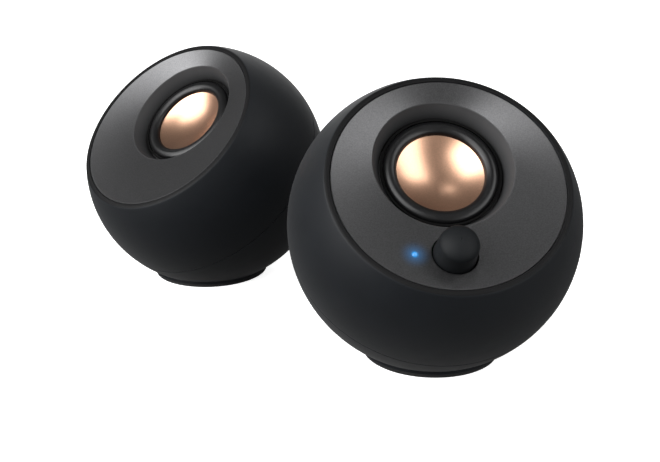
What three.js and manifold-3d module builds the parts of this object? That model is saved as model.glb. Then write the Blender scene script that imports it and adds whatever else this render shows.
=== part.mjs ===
// A pair of ball-shaped desktop speakers, in millimetres, +Z up.
// The origin is the centre of the right speaker's foot, and that speaker looks along -Y.
import * as THREE from 'three';
import { mergeVertices } from 'three/addons/utils/BufferGeometryUtils.js';
import Module from 'manifold-3d';

const wasm = await Module();
wasm.setup();

// The pair as it stands on the desk
const leftAcross = -94.6;
const leftBack = 116;
const leftTurn = THREE.MathUtils.degToRad(-47);

// Clearances and cuts
const gap = 0.3;
const overrun = 6;

// Ball: a sphere cut off by the face in front and by the neck below
const ballRadius = 61.5;
const wall = 2.4;
const faceTilt = THREE.MathUtils.degToRad(45);
const rimRadius = 0.792 * ballRadius;
const lipWidth = 2.1;
const lipRound = 0.7;
const seamDrop = 3.5;
const tongueWall = 1.4;
const tongueRise = 3;
const tongueRoot = 4.5;

// Neck and foot
const neckRadius = 0.491 * ballRadius;
const neckHeight = 3.3;
const footInset = 0.8;
const footRadius = neckRadius - footInset;
const footThickness = 1.5;
const footRound = 0.4;
const floorThickness = 2.4;

// Faceplate: a shallow dish whose straight sides run down to the driver's recess
const plateSink = 0.3;
const plateThickness = 2;
const dishDepth = 3.9;
const skirtDepth = 5.9;
const skirtWall = 1.8;
const recessRadius = 0.587 * rimRadius;
const funnelDepth = 7.7;
const funnelWall = 1.6;

// Inner frame: a cup that carries the driver and clamps the front shell
const clampThickness = 1.2;
const ledgeThickness = 2;
const ledgeWidth = 3.1;
const cupWall = 1.7;
const baffleThickness = 2.6;

// Driver, measured from the top of its flange
const driverRise = 0.209 * rimRadius;
const flangeThickness = 1.4;
const flangeLand = 2.4;
const gasketWidth = 0.9;
const gasketHeight = 0.6;
const recessMargin = 4.9;
const rollOuter = recessRadius - recessMargin;
const rollHeight = 2.2;
const rollWall = 0.6;
const rollLip = 0.9;
const rollWidth = 5.5;
const coneRadius = rollOuter - rollWidth;
const coneDepth = 4.6;
const coneThickness = 0.7;
const basketDepth = 12;
const basketWall = 1.2;
const basketStep = 2.4;
const basketBase = 1.4;
const windowWidth = 13;
const windowDepth = 5.6;
const windowTop = 1;
const earReach = 5;
const earRadius = 3;
const earAngle = THREE.MathUtils.degToRad(28);
const poleRadius = 6;
const poleClearance = 0.5;
const formerWall = 0.5;
const windingThickness = 0.8;
const windingHeight = 3.5;
const windingClearance = 0.6;
const topPlateRadius = 14;
const topPlateThickness = 2.5;
const magnetRadius = 16;
const magnetThickness = 6;
const magnetBoreMargin = 0.8;
const yokeRadius = 14.5;
const yokeThickness = 3;
const spiderLift = 2.4;
const spiderDepth = basketDepth - spiderLift;
const spiderThickness = 0.6;
const spiderWave = 0.9;

// Screws and what they bite into
const screwHeadRadius = 2.2;
const screwHeadHeight = 1.4;
const screwShankRadius = 1.2;
const screwLength = 7;
const driverScrewLength = 3.2;
const screwSeat = 0.2;
const screwMargin = 2.3;
const towerAngle = THREE.MathUtils.degToRad(30);
const towerRadius = 3.6;

// Passive radiator at the back
const radiatorRadius = 0.415 * ballRadius;
const radiatorThickness = 2.2;
const radiatorLand = 5;
const radiatorLedge = 2.2;
const radiatorLedgeWidth = 3.4;
const radiatorBossWall = 2.4;
const radiatorRollWidth = 6;
const radiatorRollHeight = 2.6;
const radiatorRollWall = 0.7;
const radiatorPlateThickness = 1.6;
const radiatorPlateInset = 0.2;
const radiatorWeightRadius = 7;
const radiatorWeightHeight = 2.5;

// Socket pocket low on the back
const pocketAngle = THREE.MathUtils.degToRad(38.7);
const pocketWidth = 38;
const pocketHeight = 11;
const pocketWall = 2;
const pocketRound = 2.5;
const pocketInset = 0.5;
const panelThickness = 1.2;
const windowMargin = 1.5;

// Sockets and switch, side by side in the pocket
const jackBodyWidth = 6.4;
const jackBodyLength = 6.4;
const jackNoseRadius = 2.9;
const jackBoreRadius = 1.75;
const usbWidth = 9;
const usbHeight = 3.3;
const usbWall = 0.4;
const usbFlat = 0.3;
const usbTongue = 0.8;
const usbTongueInset = 1;
const switchWidth = 7;
const switchHeight = 4;
const switchSlotWidth = 5.2;
const switchSlotHeight = 2.2;
const sliderWidth = 2.6;
const sliderHeight = 1.6;
const sliderReach = 1.2;
const sliderBlock = 3;
const socketPitchShares = { usb: -0.34, aux: -0.08, speaker: 0.12, gain: 0.35 };

// Circuit boards
const boardThickness = 1.6;
const boardWidth = 0.813 * ballRadius;
const boardHeight = 0.488 * ballRadius;
const boardCorner = 7;
const boardLift = 1;
const terminalHeight = 15;
const postInset = 4.5;
const postAcross = boardWidth / 2 - postInset;
const postRadius = 2.8;
const capacitorRadius = 4;
const capacitorLength = 8;
const capacitorAcross = 6;
const capacitorDrop = 9.4;
const chipAcross = 9.4;
const chipSize = 7;
const chipHeight = 1.2;
const finBase = 1.4;
const finThickness = 1.1;
const finHeight = 5;
const finCount = 4;
const heatSinkWidth = 12;

// Volume control and light
const knobAcross = -1.7;
const knobDrop = 0.628 * rimRadius;
const knobRadius = 8.5;
const knobHeight = 12.7;
const knobDome = 3.4;
const knobSink = 1.5;
const knobTaper = 0.8;
const knobClearance = 0.4;
const knobBoreDepth = 7;
const shaftRadius = 3;
const potRadius = 5.8;
const potHeight = 4.6;
const potFloor = 1;
const lightAcross = -17.2;
const lightDrop = 0.62 * rimRadius;
const controlBoardBeside = 3.8;
const controlBoardBeyond = 10.7;
const controlBoardBelow = 4;
const controlBoardHeight = 13;
const controlBoardCorner = 6;
const lightRadius = 1.1;
const lightDome = 0.35;
const lightBase = 1.6;
const lightBaseHeight = 1.5;

// Facets around and along
const ballSides = 28;
const frontSteps = 4;
const backSteps = 5;
const insideSteps = 2;
const insideBackSteps = 3;
const ringSides = 20;
const hiddenSides = 12;
const earSides = 6;
const smallSides = 6;
const rollSteps = 3;
const coneSteps = 3;
const domeSteps = 3;
const cornerSteps = 2;
const mergeTolerance = 1e-4;

// Heights along the face normal, measured from the ball's centre
const innerRadius = ballRadius - wall;
const seamFront = -seamDrop + gap / 2;
const seamBack = -seamDrop - gap / 2;
const landTop = seamBack + tongueRise + gap;
const landRadius = Math.sqrt(innerRadius ** 2 - landTop ** 2);
const rimPlane = Math.sqrt(ballRadius ** 2 - rimRadius ** 2);
const lipInner = rimRadius - lipWidth;
const plateRadius = lipInner - gap;
const plateTop = rimPlane - plateSink;
const recessEdge = plateTop - dishDepth;
const funnelEnd = recessEdge - funnelDepth;
const flangeTop = funnelEnd - gap;
const baffleTop = flangeTop - flangeThickness - gap;
const baffleBottom = baffleTop - baffleThickness;
const towerTop = baffleBottom - gap;
const skirtBottom = plateTop - skirtDepth;
const clampTop = skirtBottom - gap;
const clampBottom = clampTop - clampThickness;
const ledgeTop = clampBottom - gap;
const ledgeBottom = ledgeTop - ledgeThickness;
const ledgeInner = lipInner - ledgeWidth;
const cupOuter = ledgeInner - gap;
const cupInner = cupOuter - cupWall;
const screwCircle = cupInner - screwHeadRadius - screwMargin;

// Heights above the desk
const ballHeight = Math.sqrt(ballRadius ** 2 - neckRadius ** 2) + neckHeight;
const neckBottom = footThickness + gap - ballHeight;
const floorTop = neckBottom + floorThickness;

// Driver radii and depths
const rollInner = coneRadius + gap;
const gasketOuter = rollOuter + gap + gasketWidth;
const flangeRadius = gasketOuter + flangeLand;
const earCircle = gasketOuter + earReach;
const basketTopRadius = rollOuter + rollWall;
const basketBottomRadius = topPlateRadius + basketWall;
const formerInner = poleRadius + poleClearance;
const formerOuter = formerInner + formerWall;
const windingOuter = formerOuter + windingThickness;
const gapRadius = windingOuter + windingClearance;
const topPlateTop = -basketDepth - basketBase - gap;
const topPlateBottom = topPlateTop - topPlateThickness;
const magnetTop = topPlateBottom - gap;
const magnetBottom = magnetTop - magnetThickness;
const yokeTop = magnetBottom - gap;

// Radiator and pocket places, measured from the ball's centre
const radiatorBore = radiatorRadius + gap;
const radiatorFace = Math.sqrt(ballRadius ** 2 - radiatorBore ** 2);
const radiatorSeat = radiatorFace - radiatorThickness - gap;
const radiatorOpening = radiatorRadius - radiatorLand;
const radiatorPlateRadius = radiatorOpening - radiatorRollWidth;
const pocketCentre = -ballRadius * Math.sin(pocketAngle);
const pocketLow = pocketCentre - pocketHeight / 2;
const pocketReach = Math.sqrt(ballRadius ** 2 - pocketLow ** 2 - (pocketWidth / 2) ** 2);
const panelFace = pocketReach - pocketInset;
const panelBack = panelFace - panelThickness;
const pocketFloor = panelBack - gap;
const pocketInside = pocketFloor - pocketWall;
const jackBack = pocketInside - gap - jackBodyLength;
const boardRear = jackBack - gap;
const boardFront = boardRear - boardThickness;
const boardLow = pocketLow + boardLift;
const boardTop = boardLow + boardHeight;
const postHeight = boardTop - postInset;

// Materials
const finish = (name, color, roughness, metalness = 0) =>
  new THREE.MeshStandardMaterial({ name, color, roughness, metalness });
const shellPlastic = finish('shell_plastic', 0x1e2023, 0.62);
const platePlastic = finish('faceplate_plastic', 0x3c3c3c, 0.42, 0.3);
const framePlastic = finish('frame_plastic', 0x17181a, 0.7);
const softRubber = finish('surround_rubber', 0x141414, 0.45);
const footRubber = finish('foot_rubber', 0x0e0e0f, 0.8);
const knobRubber = finish('knob_rubber', 0x232527, 0.7);
const copperCone = finish('copper_cone', 0xc08a6a, 0.3, 0.9);
const basketPaint = finish('basket_paint', 0x1a1a1b, 0.5, 0.4);
const plainSteel = finish('steel', 0xb4b6b8, 0.35, 1);
const ferrite = finish('ferrite', 0x2b2b2d, 0.75);
const spiderCloth = finish('spider_cloth', 0xb07a2e, 0.9);
const coilWire = finish('coil_wire', 0xa8562a, 0.35, 0.9);
const boardLaminate = finish('board_laminate', 0x1d4a2e, 0.5);
const socketPlastic = finish('socket_plastic', 0x101011, 0.35);
const socketSteel = finish('socket_steel', 0xc8cacc, 0.25, 1);
const lightLens = finish('light_lens', 0x4db4ff, 0.15);
const canAluminium = finish('can_aluminium', 0xa9abad, 0.4, 1);
const chipEpoxy = finish('chip_epoxy', 0x18181a, 0.6);

// Enclosed volume of a triangle list, negative when its faces point inwards.
function signedVolume(positions, triangles) {
  const [a, b, c] = [new THREE.Vector3(), new THREE.Vector3(), new THREE.Vector3()];
  let sum = 0;
  for (let i = 0; i < triangles.length; i += 3) {
    a.fromArray(positions, triangles[i] * 3);
    b.fromArray(positions, triangles[i + 1] * 3);
    c.fromArray(positions, triangles[i + 2] * 3);
    sum += a.dot(b.cross(c)) / 6;
  }
  return sum;
}

// A closed geometry as a solid: vertices merged, collapsed triangles left out, faces outwards.
function solid(geometry) {
  const bare = geometry.clone();
  bare.deleteAttribute('normal');
  bare.deleteAttribute('uv');
  const merged = mergeVertices(bare, mergeTolerance);
  const positions = merged.attributes.position.array;
  const kept = [];
  for (let i = 0; i < merged.index.count; i += 3) {
    const [a, b, c] = [0, 1, 2].map((k) => merged.index.getX(i + k));
    if (a !== b && b !== c && c !== a) kept.push(a, b, c);
  }
  if (signedVolume(positions, kept) < 0) kept.reverse();
  return new wasm.Manifold(new wasm.Mesh({
    numProp: 3,
    vertProperties: new Float32Array(positions),
    triVerts: new Uint32Array(kept),
  }));
}

// A named mesh from a solid.
function piece(name, shape, material) {
  const { vertProperties, triVerts } = shape.getMesh();
  const geometry = new THREE.BufferGeometry();
  geometry.setAttribute('position', new THREE.BufferAttribute(new Float32Array(vertProperties), 3));
  geometry.setIndex(new THREE.BufferAttribute(new Uint32Array(triVerts), 1));
  geometry.computeVertexNormals();
  const mesh = new THREE.Mesh(geometry, material);
  mesh.name = name;
  return mesh;
}

// A profile of [radius, height] turned about Z. One that doesn't start on the axis is closed.
function revolve(profile, sides) {
  const closed = profile[0][0] === 0 ? profile : [...profile, profile[0]];
  const points = closed.map(([radius, height]) => new THREE.Vector2(radius, height));
  return solid(new THREE.LatheGeometry(points, sides).rotateX(Math.PI / 2));
}

// An upright round bar between two heights.
function bar(radius, low, high, sides, across = 0, along = 0) {
  const geometry = new THREE.CylinderGeometry(radius, radius, high - low, sides);
  geometry.rotateX(Math.PI / 2);
  geometry.translate(across, along, (low + high) / 2);
  return solid(geometry);
}

// A round bar along +Y between two distances.
function barAlong(radius, near, far, sides, across = 0, height = 0) {
  const geometry = new THREE.CylinderGeometry(radius, radius, far - near, sides);
  geometry.translate(across, (near + far) / 2, height);
  return solid(geometry);
}

// A flat ring between two heights.
function washer(inner, outer, low, high, sides) {
  return revolve([[inner, low], [outer, low], [outer, high], [inner, high]], sides);
}

// A box from its lowest to its highest corner.
function block(low, high) {
  const size = high.map((value, axis) => value - low[axis]);
  const geometry = new THREE.BoxGeometry(...size);
  geometry.translate(...high.map((value, axis) => (value + low[axis]) / 2));
  return solid(geometry);
}

// A block along Y whose four long edges are rounded.
function roundedSlot(width, height, round, near, far, centreHeight, sides) {
  const half = new THREE.Vector2(width / 2 - round, height / 2 - round);
  const corners = [[1, 1], [-1, 1], [-1, -1], [1, -1]];
  const outline = new THREE.Shape();
  for (const [quarter, [x, z]] of corners.entries()) {
    const start = (quarter * Math.PI) / 2;
    outline.absarc(x * half.x, z * half.y, round, start, start + Math.PI / 2);
  }
  const geometry = new THREE.ExtrudeGeometry(outline, {
    depth: far - near, bevelEnabled: false, curveSegments: sides,
  });
  geometry.rotateX(Math.PI / 2);
  geometry.translate(0, far, centreHeight);
  return solid(geometry);
}

// Points of a sphere's profile between two heights, as [radius, height].
function arc(radius, fromHeight, toHeight, steps) {
  const start = Math.asin(fromHeight / radius);
  const end = Math.asin(toHeight / radius);
  return Array.from({ length: steps + 1 }, (_, i) => {
    const angle = start + ((end - start) * i) / steps;
    const atPole = Math.abs(Math.abs(angle) - Math.PI / 2) < mergeTolerance;
    return [atPole ? 0 : radius * Math.cos(angle), radius * Math.sin(angle)];
  });
}

// A skin through closed rings of equal point count, the last joined to the first.
function ringLoft(rings) {
  const sides = rings[0].length;
  const positions = rings.flat().flatMap((point) => point.toArray());
  const triangles = [];
  for (let i = 0; i < rings.length; i += 1) {
    const next = (i + 1) % rings.length;
    for (let k = 0; k < sides; k += 1) {
      const turn = (k + 1) % sides;
      const [a, b] = [i * sides + k, i * sides + turn];
      const [c, d] = [next * sides + k, next * sides + turn];
      triangles.push(a, b, d, a, d, c);
    }
  }
  const geometry = new THREE.BufferGeometry();
  geometry.setAttribute('position', new THREE.Float32BufferAttribute(positions, 3));
  geometry.setIndex(triangles);
  return solid(geometry);
}

// One ring of the faceplate: a circle raised along Y by its rise.
function ringPoints(radius, height, rise) {
  return Array.from({ length: ballSides }, (_, i) => {
    const angle = (2 * Math.PI * i) / ballSides;
    return new THREE.Vector3(radius * Math.cos(angle), rise + radius * Math.sin(angle), height);
  });
}

// Places at equal turns of four about a circle: two each side, above and below.
function fourPlaces(circle, angle, rise = 0) {
  const turns = [angle, Math.PI - angle, Math.PI + angle, -angle];
  return turns.map((turn) => [circle * Math.cos(turn), rise + circle * Math.sin(turn)]);
}

// From the face's own axes to the upright axes of the ball.
const toUpright = new THREE.Matrix4().makeRotationX(Math.PI / 2 - faceTilt);

function upright(shape) {
  return shape.transform(toUpright.toArray());
}

// Shells
function frontShell() {
  const outer = arc(ballRadius, seamFront, rimPlane, frontSteps);
  const rimEdge = outer.pop();
  const inner = arc(innerRadius, ledgeBottom, landTop, insideSteps);
  return revolve([
    ...outer,
    [rimEdge[0], rimPlane - lipRound],
    [rimEdge[0] - lipRound, rimPlane],
    [lipInner + lipRound / 2, rimPlane],
    [lipInner, rimPlane - lipRound / 2],
    [lipInner, ledgeTop],
    [ledgeInner, ledgeTop],
    [ledgeInner, ledgeBottom],
    ...inner,
    [landRadius, seamFront],
  ], ballSides);
}

function rearBowl() {
  const tongueOuter = landRadius - gap;
  const outer = arc(ballRadius, -ballRadius, seamBack, backSteps);
  const inner = arc(innerRadius, seamBack - tongueRoot, -innerRadius, insideBackSteps);
  return revolve([
    ...outer,
    [tongueOuter, seamBack],
    [tongueOuter, seamBack + tongueRise],
    [tongueOuter - tongueWall, seamBack + tongueRise],
    [tongueOuter - tongueWall, seamBack - tongueRoot],
    ...inner,
  ], ballSides);
}

// The space inside the middle of the wall, where bosses and towers root.
function rootSpace() {
  const middle = ballRadius - wall / 2;
  const profile = [...arc(middle, -middle, -seamDrop, backSteps), [0, -seamDrop]];
  return revolve(profile, ballSides);
}

function towers() {
  const roots = fourPlaces(screwCircle, towerAngle).map(([x, y]) =>
    bar(towerRadius, -ballRadius, towerTop, smallSides, x, y));
  const room = rootSpace().add(bar(ballRadius, -seamDrop - gap, towerTop, ballSides));
  return roots.reduce((all, one) => all.add(one)).intersect(room);
}

function towerBores() {
  return fourPlaces(screwCircle, towerAngle)
    .map(([x, y]) => bar(screwShankRadius + gap, baffleTop - screwLength - gap, towerTop + overrun,
      smallSides, x, y))
    .reduce((all, one) => all.add(one));
}

// Two posts that carry the circuit board, from the board's rear face back to the ball's wall.
function boardPosts() {
  return [-postAcross, postAcross]
    .map((x) => barAlong(postRadius, boardRear + gap, ballRadius, smallSides, x, postHeight))
    .reduce((all, one) => all.add(one));
}

function boardPostBores() {
  return [-postAcross, postAcross]
    .map((x) => barAlong(screwShankRadius + gap, boardRear, boardFront + screwLength + gap,
      smallSides, x, postHeight))
    .reduce((all, one) => all.add(one));
}

// Tub around the socket pocket, before the pocket is cut out of it.
function pocketTub() {
  return roundedSlot(pocketWidth + 2 * pocketWall, pocketHeight + 2 * pocketWall,
    pocketRound + pocketWall, pocketInside, ballRadius, pocketCentre, cornerSteps);
}

function pocketCuts() {
  const pocket = roundedSlot(pocketWidth, pocketHeight, pocketRound, pocketFloor,
    ballRadius + overrun, pocketCentre, cornerSteps);
  const window = block(
    [-pocketWidth / 2 + windowMargin, pocketInside - overrun, pocketLow + windowMargin],
    [pocketWidth / 2 - windowMargin, pocketFloor + overrun,
      pocketLow + pocketHeight - windowMargin],
  );
  return pocket.add(window);
}

// Socket that the passive radiator drops into, with its ledge.
function radiatorBoss() {
  return barAlong(radiatorBore + radiatorBossWall, radiatorSeat - radiatorLedge, ballRadius,
    ringSides);
}

function radiatorCuts() {
  const through = radiatorBore - radiatorLedgeWidth;
  return barAlong(radiatorBore, radiatorSeat, ballRadius + overrun, ringSides)
    .add(barAlong(through, radiatorSeat - radiatorLedge - overrun, ballRadius, ringSides));
}

function rearShell() {
  const neck = bar(neckRadius, neckBottom, floorTop, ballSides);
  const below = block([-ballRadius, -ballRadius, -ballRadius - overrun],
    [ballRadius, ballRadius, neckBottom]);
  const fittings = radiatorBoss().add(pocketTub()).add(boardPosts())
    .intersect(upright(rootSpace()));
  return upright(rearBowl())
    .subtract(below)
    .add(neck)
    .add(fittings)
    .add(upright(towers()))
    .subtract(upright(towerBores()))
    .subtract(boardPostBores())
    .subtract(radiatorCuts())
    .subtract(pocketCuts());
}

function foot() {
  return revolve([
    [0, 0],
    [footRadius - footRound, 0],
    [footRadius, footRound],
    [footRadius, footThickness],
    [0, footThickness],
  ], ballSides);
}

// Faceplate
// Its rings shrink and rise from the rim to the recess, so the dish is an oblique cone.
function faceplate() {
  const skirtInner = plateRadius - skirtWall;
  const nearRim = skirtWall / (plateRadius - driverRise - recessRadius);
  const underRim = plateTop - dishDepth * nearRim - plateThickness;
  const funnelInner = gasketOuter + gap;
  return ringLoft([
    ringPoints(plateRadius, plateTop, 0),
    ringPoints(recessRadius, recessEdge, driverRise),
    ringPoints(funnelInner, funnelEnd, driverRise),
    ringPoints(funnelInner + funnelWall, funnelEnd, driverRise),
    ringPoints(recessRadius + funnelWall, recessEdge - plateThickness, driverRise),
    ringPoints(skirtInner, underRim, 0),
    ringPoints(skirtInner, skirtBottom, 0),
    ringPoints(plateRadius, skirtBottom, 0),
  ]);
}

// Height of the dish above a point of the face.
function dishHeightAt(across, rise) {
  const shrink = plateRadius - recessRadius;
  const a = driverRise ** 2 - shrink ** 2;
  const b = 2 * (plateRadius * shrink - rise * driverRise);
  const c = across ** 2 + rise ** 2 - plateRadius ** 2;
  const share = (-b + Math.sqrt(b ** 2 - 4 * a * c)) / (2 * a);
  return plateTop - dishDepth * share;
}

const knobSurface = dishHeightAt(knobAcross, -knobDrop);
const lightSurface = dishHeightAt(lightAcross, -lightDrop);
const knobBottom = knobSurface - knobSink;
const controlBoardBottom = baffleTop + gap;
const controlBoardTop = controlBoardBottom + boardThickness;
const potBottom = controlBoardTop + gap;
const potTop = potBottom + potHeight;

function controlFaceplate() {
  const knobHole = bar(knobRadius + knobClearance, baffleTop, rimPlane + overrun, ringSides,
    knobAcross, -knobDrop);
  const lightHole = bar(lightRadius + gap, baffleTop, rimPlane + overrun, smallSides,
    lightAcross, -lightDrop);
  return faceplate().subtract(knobHole).subtract(lightHole);
}

// Inner frame
function innerFrame() {
  const cup = revolve([
    [0, baffleBottom],
    [cupOuter, baffleBottom],
    [cupOuter, clampBottom],
    [plateRadius, clampBottom],
    [plateRadius, clampTop],
    [cupInner, clampTop],
    [cupInner, baffleTop],
    [0, baffleTop],
  ], ballSides);
  const low = baffleBottom - overrun;
  const high = baffleTop + gap;
  const driverHole = bar(basketTopRadius + gap, low, high, hiddenSides, 0, driverRise);
  const screwHoles = [
    ...fourPlaces(screwCircle, towerAngle),
    ...fourPlaces(earCircle, earAngle, driverRise),
  ].map(([x, y]) => bar(screwShankRadius + gap, low, high, smallSides, x, y));
  return screwHoles.reduce((all, one) => all.subtract(one), cup.subtract(driverHole));
}

// A pan-head screw with its head's underside at zero.
function screw(length) {
  return revolve([
    [0, -length],
    [screwShankRadius, -length],
    [screwShankRadius, 0],
    [screwHeadRadius, 0],
    [screwHeadRadius, screwHeadHeight],
    [0, screwHeadHeight],
  ], smallSides);
}

// The screws that pull the inner frame down on the rear shell's towers.
function frameScrews(side) {
  return fourPlaces(screwCircle, towerAngle).map(([x, y], i) => {
    const mesh = piece(`${side}_frame_screw_${i + 1}`, screw(screwLength), plainSteel);
    mesh.position.set(x, y, baffleTop + gap);
    return mesh;
  });
}

// Driver: its basket carries four ears, with a screw through each.
function basket() {
  const bowl = revolve([
    [flangeRadius, 0],
    [flangeRadius, -flangeThickness],
    [basketTopRadius, -flangeThickness],
    [basketTopRadius, -basketStep],
    [basketBottomRadius, -basketDepth],
    [basketBottomRadius, -basketDepth - basketBase],
    [windingOuter + basketWall, -basketDepth - basketBase],
    [windingOuter + basketWall, -basketDepth],
    [basketBottomRadius - basketWall, -basketDepth],
    [basketTopRadius - basketWall, -basketStep],
    [rollOuter - rollWall, 0],
  ], hiddenSides);
  const windows = [0, Math.PI / 2].map((turn) => {
    const cut = new THREE.BoxGeometry(windowWidth, flangeRadius * 2, windowDepth);
    cut.translate(0, 0, -basketStep - windowTop - windowDepth / 2);
    return solid(cut.rotateZ(turn + Math.PI / 4));
  });
  const ears = fourPlaces(earCircle, earAngle).map(([x, y]) =>
    bar(earRadius, -flangeThickness, 0, earSides, x, y));
  const screws = fourPlaces(earCircle, earAngle).map(([x, y]) =>
    screw(driverScrewLength).translate([x, y, -screwSeat]));
  const framed = windows.reduce((all, one) => all.subtract(one), bowl);
  return [...ears, ...screws].reduce((all, one) => all.add(one), framed);
}

// Half-round roll, from its outer foot to its inner foot.
function rollArc(inner, outer, height, base, steps) {
  const middle = (inner + outer) / 2;
  const half = (outer - inner) / 2;
  return Array.from({ length: steps + 1 }, (_, i) => {
    const angle = (Math.PI * i) / steps;
    return [middle + half * Math.cos(angle), base + height * Math.sin(angle)];
  });
}

function surround() {
  const lipOuter = rollOuter + rollLip;
  const under = rollArc(rollInner + rollWall, rollOuter - rollWall, rollHeight - rollWall, gap,
    rollSteps).reverse();
  return revolve([
    [lipOuter, gap],
    [lipOuter, gap + rollWall],
    [rollOuter, gap + rollWall],
    ...rollArc(rollInner, rollOuter, rollHeight, gap + rollWall, rollSteps).slice(1),
    [rollInner, gap],
    ...under,
  ], ringSides);
}

function gasket() {
  const low = 2 * gap + rollWall;
  return washer(rollOuter + gap, gasketOuter, low, low + gasketHeight, ringSides);
}

// Height of the cone's front at a radius: a shallow bowl.
function coneHeight(radius) {
  return gap - coneDepth * (1 - (radius / coneRadius) ** 2);
}

function cone() {
  const shares = Array.from({ length: coneSteps + 1 }, (_, i) => i / coneSteps);
  const front = shares.map((share) => [coneRadius * share, coneHeight(coneRadius * share)]);
  const back = front.map(([radius, height]) => [radius, height - coneThickness]);
  return revolve([...back, ...front.reverse()], ringSides);
}

function voiceCoil() {
  const top = coneHeight(0) - coneThickness - gap;
  const windingLow = (topPlateTop + topPlateBottom) / 2 - windingHeight / 2;
  const windingHigh = windingLow + windingHeight;
  return revolve([
    [formerInner, windingLow],
    [windingOuter, windingLow],
    [windingOuter, windingHigh],
    [formerOuter, windingHigh],
    [formerOuter, top],
    [formerInner, top],
  ], hiddenSides);
}

// Corrugated disc between the coil's former and the basket.
function spider() {
  const inner = formerOuter + gap;
  const slope = (basketTopRadius - basketBottomRadius) / (basketDepth - basketStep);
  const seatDepth = spiderDepth + spiderThickness;
  const outer = basketBottomRadius - basketWall + slope * (basketDepth - seatDepth) - gap;
  const waveShares = [0, 1, -1, 0];
  const upper = waveShares.map((share, i) => {
    const radius = THREE.MathUtils.lerp(inner, outer, i / (waveShares.length - 1));
    return [radius, -spiderDepth + share * spiderWave];
  });
  const lower = upper.map(([radius, height]) => [radius, height - spiderThickness]);
  return revolve([...upper, ...lower.reverse()], hiddenSides);
}

function topPlate() {
  return washer(gapRadius, topPlateRadius, topPlateBottom, topPlateTop, hiddenSides);
}

function magnet() {
  return washer(gapRadius + magnetBoreMargin, magnetRadius, magnetBottom, magnetTop, hiddenSides);
}

function yoke() {
  return revolve([
    [0, yokeTop - yokeThickness],
    [yokeRadius, yokeTop - yokeThickness],
    [yokeRadius, yokeTop],
    [poleRadius, yokeTop],
    [poleRadius, topPlateTop],
    [0, topPlateTop],
  ], hiddenSides);
}

function driverGroup(side) {
  const group = new THREE.Group();
  group.position.set(0, driverRise, flangeTop);
  group.add(
    piece(`${side}_driver_basket`, basket(), basketPaint),
    piece(`${side}_driver_surround`, surround(), softRubber),
    piece(`${side}_driver_gasket`, gasket(), softRubber),
    piece(`${side}_driver_cone`, cone(), copperCone),
    piece(`${side}_voice_coil`, voiceCoil(), coilWire),
    piece(`${side}_spider`, spider(), spiderCloth),
    piece(`${side}_top_plate`, topPlate(), plainSteel),
    piece(`${side}_magnet`, magnet(), ferrite),
    piece(`${side}_yoke`, yoke(), plainSteel),
  );
  return group;
}

// Passive radiator, drawn about Z with its seat at zero
function radiatorFrame() {
  return washer(radiatorOpening, radiatorRadius, 0, radiatorThickness, ringSides);
}

function radiatorSurround() {
  const outer = radiatorOpening - gap;
  const inner = radiatorPlateRadius + gap;
  const under = rollArc(inner + radiatorRollWall, outer - radiatorRollWall,
    radiatorRollHeight - radiatorRollWall, radiatorPlateInset, rollSteps).reverse();
  return revolve([
    ...rollArc(inner, outer, radiatorRollHeight, radiatorPlateInset, rollSteps),
    ...under,
  ], ringSides);
}

function radiatorPlate() {
  return revolve([
    [0, -radiatorWeightHeight],
    [radiatorWeightRadius, -radiatorWeightHeight],
    [radiatorWeightRadius, radiatorPlateInset],
    [radiatorPlateRadius, radiatorPlateInset],
    [radiatorPlateRadius, radiatorPlateInset + radiatorPlateThickness],
    [0, radiatorPlateInset + radiatorPlateThickness],
  ], ringSides);
}

function radiatorGroup(side) {
  const group = new THREE.Group();
  group.position.y = radiatorSeat + gap;
  group.rotation.x = -Math.PI / 2;
  group.add(
    piece(`${side}_radiator_frame`, radiatorFrame(), framePlastic),
    piece(`${side}_radiator_surround`, radiatorSurround(), softRubber),
    piece(`${side}_radiator_plate`, radiatorPlate(), framePlastic),
  );
  return group;
}

// Sockets, panel and boards, drawn in the ball's upright axes
function jackBody(across) {
  const half = jackBodyWidth / 2;
  const body = block([across - half, jackBack, pocketCentre - half],
    [across + half, pocketInside - gap, pocketCentre + half]);
  return body
    .add(barAlong(jackNoseRadius, pocketInside - overrun / 2, panelFace, hiddenSides, across,
      pocketCentre))
    .subtract(barAlong(jackBoreRadius, jackBack + boardThickness, panelFace + overrun,
      hiddenSides, across, pocketCentre));
}

// Steel shell with its flat tongue, open to the back.
function usbSocket(across) {
  const outline = (inset, near, far) => roundedSlot(usbWidth - 2 * inset, usbHeight - 2 * inset,
    (usbHeight - usbFlat) / 2 - inset, near, far, pocketCentre, domeSteps);
  const shell = outline(0, jackBack, panelFace)
    .subtract(outline(usbWall, jackBack + boardThickness, panelFace + overrun));
  const half = usbWidth / 2 - usbWall - usbTongueInset;
  const tongue = block([-half, jackBack, pocketCentre - usbTongue / 2],
    [half, panelFace - usbTongueInset, pocketCentre + usbTongue / 2]);
  return shell.add(tongue).translate([across, 0, 0]);
}

function gainSwitch(across) {
  const [halfWidth, halfHeight] = [switchWidth / 2, switchHeight / 2];
  const body = block([across - halfWidth, jackBack, pocketCentre - halfHeight],
    [across + halfWidth, panelBack - gap, pocketCentre + halfHeight]);
  const [slotWidth, slotHeight] = [switchSlotWidth / 2, switchSlotHeight / 2];
  const slot = block([across - slotWidth, panelBack - gap - sliderBlock - gap,
    pocketCentre - slotHeight], [across + slotWidth, panelFace, pocketCentre + slotHeight]);
  return body.subtract(slot);
}

function gainSlider(across) {
  const rest = across - switchSlotWidth / 2 + gap + sliderWidth / 2;
  return block([rest - sliderWidth / 2, panelBack - gap - sliderBlock,
    pocketCentre - sliderHeight / 2],
  [rest + sliderWidth / 2, panelFace + sliderReach, pocketCentre + sliderHeight / 2]);
}

function socketPlaces() {
  return Object.fromEntries(Object.entries(socketPitchShares)
    .map(([name, share]) => [name, share * pocketWidth]));
}

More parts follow.
